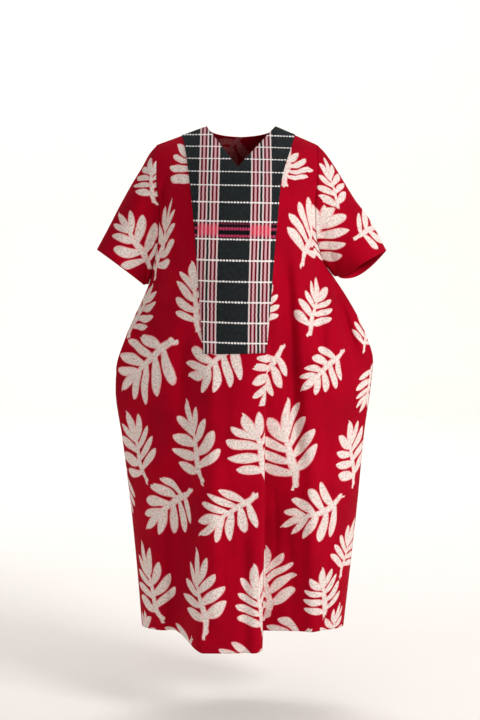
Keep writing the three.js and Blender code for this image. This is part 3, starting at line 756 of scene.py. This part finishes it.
# A socket that can be added, multiplied and compared, each time with a Math node
class Wire:
    def __init__(self, finish, socket):
        self.finish, self.socket = finish, socket

    def maths(self, operation, *values):
        return self.finish.add("ShaderNodeMath", {"operation": operation}, dict(enumerate(values)))

    __add__ = __radd__ = onTwo("ADD")
    __mul__ = __rmul__ = onTwo("MULTIPLY")
    __sub__, __truediv__, __pow__ = onTwo("SUBTRACT"), onTwo("DIVIDE"), onTwo("POWER")
    __lt__, __gt__ = onTwo("LESS_THAN"), onTwo("GREATER_THAN")
    highest, lowest = onTwo("MAXIMUM"), onTwo("MINIMUM")
    __abs__, floor, rounded, wave = onOne("ABSOLUTE"), onOne("FLOOR"), onOne("ROUND"), onOne("SINE")

    def __rsub__(self, other):
        return self.maths("SUBTRACT", other, self)

    # 0 up to start and 1 from end on
    def soft(self, start, end):
        return self.finish.add("ShaderNodeMapRange", {"interpolation_type": "SMOOTHSTEP"},
                               {"Value": self, "From Min": start, "From Max": end})

    # 1 within an edge, a little softened, and 0 past it
    def within(self, edge, softness):
        return 1 - self.soft(edge - softness, edge + softness)


class Finish:
    def __init__(self, name, specular):
        self.material = bpy.data.materials.new(name)
        self.material.use_nodes = True
        self.tree = self.material.node_tree
        self.surface = self.tree.nodes["Principled BSDF"]
        self.plug("Specular IOR Level", specular, self.surface)

    def plug(self, name, value, node):
        if isinstance(value, Wire):
            self.tree.links.new(value.socket, node.inputs[name])
        else:
            node.inputs[name].default_value = value

    def add(self, kind, settings=None, sockets=None, out=0):
        node = self.tree.nodes.new(kind)
        settings = dict(settings or {})
        stops = settings.pop("stops", [])
        for name, value in settings.items():
            setattr(node, name, value)
        for _ in stops[2:]:
            node.color_ramp.elements.new(0.5)
        for k, (place, level) in enumerate(stops):
            node.color_ramp.elements[k].position = place
            node.color_ramp.elements[k].color = (level, level, level, 1)
        for name, value in (sockets or {}).items():
            self.plug(name, value, node)
        return Wire(self, node.outputs[out])

    def parts(self, vector):
        x = self.add("ShaderNodeSeparateXYZ", {}, {"Vector": vector})
        return x, Wire(self, x.socket.node.outputs[1])

    def chart(self, name):
        return self.parts(self.add("ShaderNodeUVMap", {"uv_map": name}))

    def point(self, x, y, z=0.0):
        return self.add("ShaderNodeCombineXYZ", {}, {"X": x, "Y": y, "Z": z})

    def noise(self, where, scale, detail=2.0, roughness=0.5, out=0):
        return self.add("ShaderNodeTexNoise", {},
                        {"Vector": where, "Scale": scale, "Detail": detail, "Roughness": roughness}, out)

    def blend(self, factor, first, second):
        return self.add("ShaderNodeMix", {"data_type": "RGBA"}, {0: factor, 6: first, 7: second}, out=2)

    def bump(self, height, strength, distance, under=None):
        sockets = {"Height": height, "Strength": strength, "Distance": distance}
        return self.add("ShaderNodeBump", {}, {**sockets, "Normal": under} if under else sockets)

    def finishWith(self, colour, roughness, normal=None):
        self.plug("Base Color", colour, self.surface)
        self.plug("Roughness", roughness, self.surface)
        if normal:
            self.plug("Normal", normal, self.surface)
        return self.material


# One leaf of the print, in lengths of the leaf. Each leaflet: where it leaves the rib, how far out and up its
# tip is, and its half width. The sides are alike, and a slow noise makes each leaf its own.
leafForm = dict(
    leaflets=[(0.20, 0.31, 0.37, 0.062), (0.34, 0.32, 0.55, 0.064), (0.48, 0.26, 0.73, 0.060),
              (0.60, 0.165, 0.89, 0.056), (0.62, 0.0, 1.0, 0.058)],
    rib=[(0.0, 0.0), (0.015, 0.8), (0.04, 1.0), (0.09, 0.75), (0.2, 1.0), (0.35, 1.0), (0.6, 0.75),
         (0.85, 0.0)],
    ribWidth=0.042, bow=0.07, waviness=0.075, leftShift=0.035, blunt=0.2, fullest=0.465,
)


def leafMask(finish):
    across, upAll = finish.chart("leafPlace")
    index = (upAll / leafStride).floor()
    up = upAll - index * leafStride - leafBase
    slow = finish.noise(finish.point(across * 2.6, up * 2.6, index * 3.7), 1.0, 0.0, out=1)
    swayX, swayY = finish.parts(slow)
    rough = finish.noise(finish.point(across, up, index), 38.0, 1.0) - 0.5
    sway = leafForm["waviness"] * 2
    x = across + (swayX - 0.5) * sway + rough * 0.010
    y = up + (swayY - 0.5) * sway + (x < 0) * leafForm["leftShift"] + rough * 0.006
    side = abs(x)
    rib = finish.add("ShaderNodeValToRGB", {"stops": leafForm["rib"]}, {"Fac": y})
    shape = rib * leafForm["ribWidth"] - side
    for attach, tipOut, tipUp, width in leafForm["leaflets"]:
        length = math.hypot(tipOut, tipUp - attach)
        sine, cosine = tipOut / length, (tipUp - attach) / length
        along = (side * sine + (y - attach) * cosine) / length
        off = side * cosine - (y - attach) * sine
        if tipOut:
            off = off - along * (1 - along) * leafForm["bow"] * length
        half = ((along + leafForm["blunt"]).highest(0.0) * ((1 - along).highest(0.0) ** 0.6)
                * (width / leafForm["fullest"]))
        shape = shape.highest(half - abs(off))
    return shape, index


# The printed cotton: red ground, undyed leaves with the grey and pink specks that the wax leaves. Its inside
# is a darker copy: painted shade for the hollows of the sleeves and the neck.
printPaints = dict(
    ground=paint(167, 0, 30),
    groundDeep=paint(151, 0, 26),
    leaf=paint(242, 228, 221),
    leafGrey=paint(186, 176, 167),
    leafPink=paint(234, 170, 176),
    leafDark=paint(92, 78, 80),
    leafEdge=paint(234, 160, 162),
    # painted shade: the inside's darker red stands for the shadow inside the sleeves and the neck. Its leaves
    # are the print showing faintly through the cloth, darkened further as painted shade.
    inside=paint(120, 0, 18),
    shadedInsideLeaf=paint(168, 88, 90),
)
threadPitch = (0.0011, 0.0012)


def printedCloth(name, inside=False):
    paints = printPaints
    finish = Finish(name, 0.04)
    u, v = finish.chart("clothChart")
    where = finish.point(u, v)
    shape, index = leafMask(finish)
    mask = shape.soft(0.0005, 0.007)
    slow = finish.noise(where, 9.0, 3.0)
    specks = finish.noise(where, 210.0, 3.0, 0.75)
    # the inside is painted shade: a darker red ground, and faint leaves that are also darkened by painted
    # shade
    if inside:
        ground = finish.blend(slow, paints["inside"], paints["groundDeep"])
        leaf = finish.blend(specks.soft(0.4, 0.7), paints["shadedInsideLeaf"], paints["inside"])
    else:
        blots = finish.noise(where, 80.0, 2.0)
        dots = finish.noise(finish.point(u + 3.1, v - 1.7), 190.0, 2.0, 0.6)
        ground = finish.blend(slow.soft(0.3, 0.75), paints["ground"], paints["groundDeep"])
        leaf = finish.blend(specks.soft(0.44, 0.62) * 0.8, paints["leaf"], paints["leafGrey"])
        leaf = finish.blend(blots.soft(0.54, 0.7) * 0.45, leaf, paints["leafPink"])
        leaf = finish.blend(dots.soft(0.6, 0.68) * 0.5, leaf, paints["leafDark"])
        leaf = finish.blend(1 - shape.soft(0.006, 0.02), leaf, paints["leafEdge"])
    colour = finish.blend(mask, ground, leaf)
    warpPitch, weftPitch = threadPitch
    threads = (u * (2 * math.pi / warpPitch)).wave() * (v * (2 * math.pi / weftPitch)).wave()
    slubs = finish.noise(finish.point(u * 4, v), 260.0, 2.0)
    crumple = finish.noise(where, 30.0, 3.0, 0.55)
    worn = (slubs.soft(0.45, 0.75) * 0.16 + threads * 0.05).highest(0.0)
    normal = finish.bump(threads * 0.5 + slubs, 0.3, 0.0004)
    return finish.finishWith(finish.blend(worn, colour, paints["groundDeep"]),
                             0.72 + slubs * 0.16 + mask * 0.04, finish.bump(crumple, 0.22, 0.007, normal))


# The woven strip cloth: charcoal ground, two striped bands, and rows of white picks
weave = dict(
    bandCentre=62.0, groupOffset=13.6, pinkHalf=2.4, wineTo=7.2, whiteTo=10.8, softness=0.4,
    rowHeights=[-24, -53, -83, -114, -146, -186, -231, -273, -323, -373, -422, -471, -519],
    rowPitch=46, footPitch=49, rowHalf=1.6, rowSlope=0.02, dotPitch=7.4, dotSize=(3.0, 2.2), beadPitch=6.6,
    colourRow=6, centres=(-13, -21.5), centreLevels=(-60, -540), warpTurn=5.2, weftTurn=300,
    charcoal=paint(27, 32, 34), charcoalWorn=paint(36, 41, 43), wine=paint(100, 4, 24),
    pink=paint(216, 166, 174), white=paint(228, 206, 206), pick=paint(244, 240, 238),
    magenta=paint(204, 62, 104), coral=paint(228, 66, 92), coralPale=paint(240, 128, 142),
    black=paint(12, 9, 14),
)


# Across in millimetres from the middle between the bands, and down in picks of white
def weaveChart(points, levels):
    rows = weave["rowHeights"]
    centre = mix(*weave["centres"], ease(levels, *weave["centreLevels"]))
    known = [rows[0] + weave["rowPitch"]] + rows + [rows[-1] - weave["footPitch"]]
    height = points[..., 2] + weave["rowSlope"] * points[..., 0]
    count = np.interp(-height, [-level for level in known], np.arange(len(known)) - 1.0)
    return points[..., 0] - centre, count


def wovenCloth():
    finish = Finish("wovenStrip", 0.12)
    x, row = finish.chart("weaveChart")
    hand = finish.noise(finish.point(x * 0.004, row * 1.2), 6.0, 2.0) - 0.5
    ripple = finish.noise(finish.point(x * 0.05, row * 3), 3.0, 1.0) - 0.5
    x = x + hand * 2.4
    row = row + ripple * 0.05
    fromBand = abs(abs(x) - weave["bandCentre"])
    group = abs(fromBand - weave["groupOffset"])
    inPink, inWine, inGroup = (group.within(weave[edge], weave["softness"])
                               for edge in ("pinkHalf", "wineTo", "whiteTo"))
    inBand = fromBand.within(weave["groupOffset"] + weave["whiteTo"], weave["softness"])
    off = (row - row.rounded()) * weave["rowPitch"]
    along = x / weave["dotPitch"]
    alongOff = (along - along.rounded()) * weave["dotPitch"]
    dotLong, dotHigh = weave["dotSize"]
    dot = 1 - ((alongOff / dotLong) ** 2 + (off / dotHigh) ** 2).soft(0.65, 1.3)
    line = abs(off).within(weave["rowHalf"], 0.5)
    inRows = (row > -0.5) * (row < len(weave["rowHeights"]) - 0.5)
    picks = (inBand * line + (1 - inBand) * dot).lowest(1.0) * inRows
    # between two of the rows the weft turns to magenta and coral
    share = row - weave["colourRow"]
    coloured = (share > 0.03) * (share < 0.97)

    def stripe(start, full, fades, end):
        return share.soft(start, full) * (1 - share.soft(fades, end))

    beads = ((x * (2 * math.pi / weave["beadPitch"])).wave() * 0.5 + 0.5).soft(0.1, 0.75)
    broken = finish.noise(finish.point(x * 0.06, row * 4), 5.0, 2.0)
    magentaPicks = stripe(0.3, 0.36, 0.46, 0.52) + stripe(0.72, 0.77, 0.86, 0.91)
    magentaPicks = magentaPicks + stripe(0.06, 0.1, 0.14, 0.19) * 0.35
    magentaPicks = magentaPicks * (0.3 + beads * 0.7) * broken.soft(0.25, 0.5)
    coralZone = stripe(0.05, 0.34, 0.62, 0.95) * inBand
    worn = finish.noise(finish.point(x * 0.02, row), 5.0, 3.0)
    warp = (x * weave["warpTurn"]).wave()
    weft = (row * weave["weftTurn"]).wave()
    grain = finish.noise(finish.point(x * 0.3, row * 14), 5.0, 2.0)
    stripes = finish.blend(inWine, weave["white"], finish.blend(inPink, weave["wine"], weave["pink"]))
    coralNow = finish.blend(inPink.highest(inGroup - inWine), weave["coral"], weave["coralPale"])
    colour = weave["charcoal"]
    for mask, layer in ((worn.soft(0.35, 0.75), weave["charcoalWorn"]), (coloured, weave["black"]),
                        (inGroup, stripes), (coralZone * coloured * (0.6 + beads * 0.3), coralNow),
                        ((magentaPicks * coloured * (1 - inBand)).lowest(1.0), weave["magenta"]),
                        (picks, weave["pick"]), ((warp * 0.5 + 0.5) * 0.14, weave["black"])):
        colour = finish.blend(mask, colour, layer)
    normal = finish.bump(warp * 0.5 + weft * 0.3 + grain, 0.35, 0.0005)
    normal = finish.bump(picks + inPink * 0.2, 0.5, 0.0008, normal)
    return finish.finishWith(colour, 0.78 + grain * 0.14, normal)


def plainCloth(name, light, dark, scale=240.0):
    finish = Finish(name, 0.1)
    where = finish.add("ShaderNodeTexCoord", out=3)
    grain = finish.noise(where, scale, 3.0, 0.6)
    slow = finish.noise(where, 14.0, 2.0)
    colour = finish.blend((grain * 0.6 + slow * 0.4).soft(0.3, 0.7), light, dark)
    return finish.finishWith(colour, 0.74 + grain * 0.16, finish.bump(grain, 0.3, 0.0004))


# Stitches: a grain of thread every pitch along a path on the cloth, some distance in from an edge
stitch = dict(length=2.8, pitch=3.6, width=0.5, lift=0.14, seed=4, uneven=(0.88, 1.08), reach=40,
              fromHem=17, fromCuff=15, fromEdge=5, fromPanel=3.5)


def stitchTree():
    tree = bpy.data.node_groups.new("stitchRow", "GeometryNodeTree")
    for name, kind in dict(Geometry="Geometry", Length="Float", Pitch="Float", Width="Float", Seed="Int",
                           Thread="Material").items():
        tree.interface.new_socket(name, in_out="INPUT", socket_type="NodeSocket" + kind)
    tree.interface.new_socket("Geometry", in_out="OUTPUT", socket_type="NodeSocketGeometry")

    # a node with its settings, then its sockets as values or as links; gives back what comes out of it
    def add(kind, sockets, **settings):
        node = tree.nodes.new(kind)
        for name, value in settings.items():
            setattr(node, name, value)
        for name, value in sockets.items():
            if isinstance(value, bpy.types.NodeSocket):
                tree.links.new(value, node.inputs[name])
            else:
                node.inputs[name].default_value = value
        return node.outputs

    given = add("NodeGroupInput", {})
    points = add("GeometryNodeCurveToPoints", {"Curve": given["Geometry"], "Length": given["Pitch"]},
                 mode="LENGTH")
    grain = add("GeometryNodeMeshUVSphere", {"Segments": 6, "Rings": 4, "Radius": 0.5})
    shortest, longest = stitch["uneven"]
    uneven = add("FunctionNodeRandomValue", {2: shortest, 3: longest, "Seed": given["Seed"]},
                 data_type="FLOAT")
    length = add("ShaderNodeMath", {0: given["Length"], 1: uneven[1]}, operation="MULTIPLY")
    size = add("ShaderNodeCombineXYZ", {"X": given["Width"], "Y": given["Width"], "Z": length[0]})
    placed = add("GeometryNodeInstanceOnPoints", {"Points": points["Points"], "Instance": grain["Mesh"],
                                                  "Rotation": points["Rotation"], "Scale": size["Vector"]})
    real = add("GeometryNodeRealizeInstances", {"Geometry": placed["Instances"]})
    dyed = add("GeometryNodeSetMaterial", {"Geometry": real["Geometry"], "Material": given["Thread"]})
    add("NodeGroupOutput", {"Geometry": dyed["Geometry"]})
    return tree


def sewStitches(name, paths, thread):
    curve = bpy.data.curves.new(name + "Path", "CURVE")
    curve.dimensions = "3D"
    for path in paths:
        spline = curve.splines.new("POLY")
        spline.points.add(len(path) - 1)
        flat = np.concatenate([path * mm, np.ones((len(path), 1))], 1).reshape(-1)
        spline.points.foreach_set("co", flat.astype(np.float32))
    guide = addObject(name + "Path", curve)
    modifier = guide.modifiers.new("stitches", "NODES")
    modifier.node_group = tree
    given = {"Length": stitch["length"] * mm, "Pitch": stitch["pitch"] * mm, "Width": stitch["width"] * mm,
             "Seed": stitch["seed"], "Thread": thread}
    for item in tree.interface.items_tree:
        if item.in_out == "INPUT" and item.name in given:
            modifier[item.identifier] = given[item.name]
    mesh = bpy.data.meshes.new_from_object(guide.evaluated_get(bpy.context.evaluated_depsgraph_get()))
    mesh.name = name
    bpy.data.objects.remove(guide)
    return addMesh(name, mesh)


# A grid turned so that its first axis runs inwards from the named edge
def inwards(points, edge):
    lines = points if edge in ("first", "last") else points.swapaxes(0, 1)
    return lines if edge in ("first", "top") else lines[::-1]


# A line over the cloth at a distance in from one of its edges, lifted just off the surface
def insetLine(points, normals, edge, distance, span):
    reach = stitch["reach"]
    rows, facings = (inwards(part, edge).swapaxes(0, 1)[span, :reach] for part in (points, normals))
    line = []
    for row, facing in zip(rows, facings):
        run = runAlong(row)
        place = np.array([np.interp(distance, run, row[:, i]) for i in range(3)])
        line.append(place + facing[min(np.searchsorted(run, distance), reach - 1)] * stitch["lift"])
    return np.array(line)


# Cloth as it is made up: how thick it is, how high the turned-up hem goes, and how a seam sinks in
cloth = dict(thickness=0.8, panelThickness=1.2, panelLift=1.7, panelEdgeLift=0.35, panelEdge=(7, 10),
             hemTurn=3, hemGap=1.9, hemCrown=0.5, seamSink=0.6, seamReach=4.0, seamColumns=12)


# The hem is turned up inside: three more rows, a little inside the cloth
def turnHem(points, normals, chart):
    turn = slice(-1 - cloth["hemTurn"], -1)
    inner = points[:, turn][:, ::-1] - normals[:, turn][:, ::-1] * cloth["hemGap"]
    crown = points[:, -1:] - normals[:, -1:] * cloth["hemGap"] / 2
    crown[..., 2] -= cloth["hemCrown"]
    grownChart = [np.concatenate([c, c[:, -1:], c[:, turn][:, ::-1]], 1) for c in chart]
    return np.concatenate([points, crown, inner], 1), grownChart


# The cloth sinks a little towards its side seams, but not along the pocket mouths
def sinkSeams(points, normals):
    sink = np.zeros(points.shape[:2])
    rows = np.r_[0:mouthFirst, mouthLast:points.shape[1]]
    for edge in ("first", "last"):
        run = runAlong(inwards(points, edge)[:cloth["seamColumns"]])
        depth = cloth["seamSink"] * np.exp(-(run / cloth["seamReach"]) ** 2)
        inwards(sink, edge)[:cloth["seamColumns"], rows] = depth[:, rows]
    return points - normals * sink[..., None]


def addWall(piece, thickness, *materials):
    for material in materials:
        piece.data.materials.append(material)
    wall = piece.modifiers.new("clothWall", "SOLIDIFY")
    wall.thickness = thickness * mm
    wall.offset = -1
    wall.use_quality_normals = True
    wall.material_offset = len(materials) - 1
    return piece


makeCamera()
print("camera set")

front, frontLevels = makeFrontGrid()
back = makeBackGrid()
rightSleeve = makeSleeveGrid("right", -1, front, back)
leftSleeve = makeSleeveGrid("left", 1, front, back)
frontNormals, backNormals = gridNormals(front, False), gridNormals(back, True)
front, back = sinkSeams(front, frontNormals), sinkSeams(back, backNormals)
print("cloth laid out:", front.shape, back.shape, rightSleeve.shape)

printOut = printedCloth("printedCotton")
# the inside of every printed piece gets this darker copy, which is painted shade
printInsideShaded = printedCloth("printedCottonInsideShaded", inside=True)
woven = wovenCloth()
bagCloth = plainCloth("pocketCotton", paint(120, 4, 22), paint(92, 2, 16))
redThread = plainCloth("redThread", paint(186, 24, 46), paint(150, 10, 30), 900.0)
greyThread = plainCloth("greyThread", paint(66, 66, 70), paint(44, 44, 48), 900.0)
print("finishes made")


def makePrinted(name, points, normals, chart, leaves, flip, closedRing=False, foldAt=noFold):
    grown, chart = turnHem(points, normals, chart)
    piece = makeSheet(name, grown, flip, closedRing, chart=[c * mm for c in chart],
                      places=leafPlaces(chart, leaves, foldAt))
    return addWall(piece, cloth["thickness"], printOut, printInsideShaded)


frontColumn = grid["right"] + grid["panel"] // 2
frontChart = clothChart(front, frontColumn, mouthLast)
foldColumn = grid["right"] + grid["panel"]
foldEnds = foldColumn + grid["fold"]
columnNumber = np.arange(front.shape[0])[:, None] + 0 * front[..., 0]
usable = dict(ahead=columnNumber <= foldColumn, behind=columnNumber >= foldEnds,
              both=(columnNumber < foldColumn - 1) | (columnNumber > foldEnds + 1))
frontList = [(placeOnChart(front, frontChart, usable[part], x0, z0),
              placeOnChart(front, frontChart, usable[part], x1, z1), width, part)
             for x0, z0, x1, z1, width, part in frontLeaves]
frontPiece = makePrinted("printedFront", front, frontNormals, frontChart, frontList, False, foldAt=foldColumn)
backPiece = makePrinted("printedBack", back, backNormals, clothChart(back, grid["back"] // 2, mouthLast),
                        backLeafRows(), True)
print("front and back made")


def makeSleeve(name, points, sign, leaves):
    normals = gridNormals(points, sign > 0)
    chart = sleeveChart(points)
    isFront = (np.arange(points.shape[0]) >= grid["armhole"])[:, None] & np.ones(points.shape[1], bool)
    placed = [(*placeAslant(points, chart, isFront if face == "front" else ~isFront, (x0, z0), (x1, z1)),
               width, "both") for x0, z0, x1, z1, face, width in leaves]
    return makePrinted(name, points, normals, chart, placed, sign > 0, True), normals


rightPiece, rightNormals = makeSleeve("sleeveRight", rightSleeve, -1, sleeveLeaves["right"])
leftPiece, leftNormals = makeSleeve("sleeveLeft", leftSleeve, 1, sleeveLeaves["left"])
print("sleeves made")

# The panel is the front's own points moved out, a little thicker where its edges are turned under
panelPart = (slice(grid["right"], foldColumn + 1), slice(panelLast + 1))
panelBase, panelNormals = front[panelPart], frontNormals[panelPart]
panelX, panelZ = panelBase[..., 0], panelBase[..., 2]
fromEdge = np.minimum.reduce([np.abs(panelX - panelX[:1]), np.abs(panelX - panelX[-1:]),
                              np.abs(panelZ - panelZ[:, -1:])])
edgeLift = cloth["panelEdgeLift"] * (1 - ease(fromEdge, *cloth["panelEdge"]))
panel = panelBase + panelNormals * (cloth["panelLift"] + edgeLift)[..., None]
panelPiece = makeSheet("wovenPanel", panel, False, chartName="weaveChart",
                       chart=weaveChart(panelBase, frontLevels[panelPart]))
addWall(panelPiece, cloth["panelThickness"], woven)
print("panel made")

bagPieces = {side: addWall(makeSheet("pocketBag" + side, makeBagGrid(sign), sign < 0, True, capped=True),
                           cloth["thickness"], bagCloth) for side, sign in (("Right", -1), ("Left", 1))}
print("pocket bags made")

tree = stitchTree()
mouthRows = slice(mouthFirst, mouthLast + 1)
backNeck = slice(grid["back"] // 3, 2 * (grid["back"] // 3) + 1)
# the panel's columns along its V, between the two points where it meets the shoulder line
panelStep = grid["panel"] // coarse["panel"]
frontNeck = slice(neckStations[0][1] * panelStep, neckStations[0][-2] * panelStep + 1)
whole = slice(None)
# the rows of stitches on each piece: from which edge, how far in and along which part of it
seams = dict(
    front=(front, frontNormals, redThread, [("foot", stitch["fromHem"], whole),
                                            ("first", stitch["fromEdge"], mouthRows),
                                            ("last", stitch["fromEdge"], mouthRows)]),
    back=(back, backNormals, redThread, [("foot", stitch["fromHem"], whole),
                                         ("top", stitch["fromEdge"], backNeck)]),
    rightCuff=(rightSleeve, rightNormals, redThread, [("foot", stitch["fromCuff"], whole)]),
    leftCuff=(leftSleeve, leftNormals, redThread, [("foot", stitch["fromCuff"], whole)]),
    panel=(panel, panelNormals, greyThread, [(edge, stitch["fromPanel"], whole)
                                             for edge in ("first", "last", "foot")]
           + [("top", stitch["fromEdge"], frontNeck)]),
)
stitches = {name: sewStitches(name + "Stitches", [insetLine(points, normals, *row) for row in rows], thread)
            for name, (points, normals, thread, rows) in seams.items()}
print("stitches sewn")

# A pale floor that turns up all round into a low wall, and soft studio light
studio = dict(floor=-1.47, inner=0.4, radius=6.4, sweep=1.2, sweepSteps=12, height=3.2, around=64,
              paper=paint(243, 240, 237), paperShade=paint(240, 236, 232), air=(1, 0.99, 0.985, 1),
              airStrength=0.4)
# place, what it is aimed at, width and height, power
lights = dict(
    keyLight=((3.4, -2.8, 1.3), (0, 0, -0.6), (1.4, 1.4), 146),
    fillLight=((-3.0, -3.0, 0.6), (0, 0, -0.7), (2.2, 2.2), 8),
    backLight=((0.0, 2.6, 3.0), (0, 5.5, -0.4), (4.0, 1.6), 95),
    floorLight=((-0.6, 2.9, 3.1), (-0.9, 2.4, -1.47), (4.5, 3.0), 70),
)


def makeStudio():
    floor, radius, sweep, around = (studio[name] for name in ("floor", "radius", "sweep", "around"))
    profile = [(studio["inner"], floor)]
    for k in range(studio["sweepSteps"] + 1):
        angle = k / studio["sweepSteps"] * math.pi / 2
        profile.append((radius - sweep + sweep * math.sin(angle), floor + sweep * (1 - math.cos(angle))))
    profile.append((radius, studio["height"]))
    turns = [2 * math.pi * k / around for k in range(around)]
    vertices = [(r * math.cos(a), r * math.sin(a), z) for r, z in profile for a in turns]
    faces = [list(range(around))]
    for ring in range(0, (len(profile) - 1) * around, around):
        for k in range(around):
            after = (k + 1) % around
            faces.append([ring + around + k, ring + around + after, ring + after, ring + k])
    mesh = bpy.data.meshes.new("backdrop")
    mesh.from_pydata(vertices, [], faces)
    finish = Finish("paperBackdrop", 0.1)
    grain = finish.noise(finish.add("ShaderNodeTexCoord", out=3), 3.0, 2.0)
    mesh.materials.append(finish.finishWith(finish.blend(grain, studio["paper"], studio["paperShade"]), 0.9))
    addMesh("backdrop", mesh)


def addLight(name, place, aim, size, power):
    data = bpy.data.lights.new(name, "AREA")
    data.shape = "RECTANGLE"
    data.size, data.size_y = size
    data.energy = power
    lamp = addObject(name, data)
    lamp.location = place
    x, y, z = (end - start for start, end in zip(place, aim))
    lamp.rotation_euler = (math.pi / 2 + math.atan2(z, math.hypot(x, y)), 0, math.atan2(y, x) - math.pi / 2)


makeStudio()
world = bpy.data.worlds.new("studioAir")
world.use_nodes = True
air = world.node_tree.nodes["Background"].inputs
air["Color"].default_value = studio["air"]
air["Strength"].default_value = studio["airStrength"]
bpy.context.scene.world = world
for name, light in lights.items():
    addLight(name, *light)
bpy.context.scene.view_settings.view_transform = "Standard"
print("studio lit")

# Each sheet: its CAD node and slot, its flat size, all round for the tubes, the area of its cut, how it is
# held, what it lies on and its stitches
bodyPieces = [frontPiece, backPiece]
sheets = [
    (frontPiece, "front", "printed_cloth", (0.85, 1.36), 0.925, "draped", [backPiece], ["front"]),
    (backPiece, "back", "printed_cloth", (0.75, 1.33), 0.80, "draped", [frontPiece], ["back"]),
    (rightPiece, "sleeve_right", "printed_cloth", (0.76, 0.30), 0.08, "draped", bodyPieces, ["rightCuff"]),
    (leftPiece, "sleeve_left", "printed_cloth", (0.73, 0.31), 0.088, "draped", bodyPieces, ["leftCuff"]),
    (panelPiece, "woven_panel", "woven_cloth", (0.28, 0.59), 0.115, "laid", [frontPiece], ["panel"]),
    (bagPieces["Right"], "pocket_bag_right", "pocket_cloth", (0.40, 0.21), 0.067, "hung", bodyPieces, []),
    (bagPieces["Left"], "pocket_bag_left", "pocket_cloth", (0.40, 0.21), 0.076, "hung", bodyPieces, []),
]
for piece, node, slot, *_ in sheets:
    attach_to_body(piece, "root")
    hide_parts(node)
for name, piece in stitches.items():
    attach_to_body(piece, "root")
for piece, _, _, flat, area, held, under, sewn in sheets:
    [stitches[name] for name in sewn]
    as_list(under)
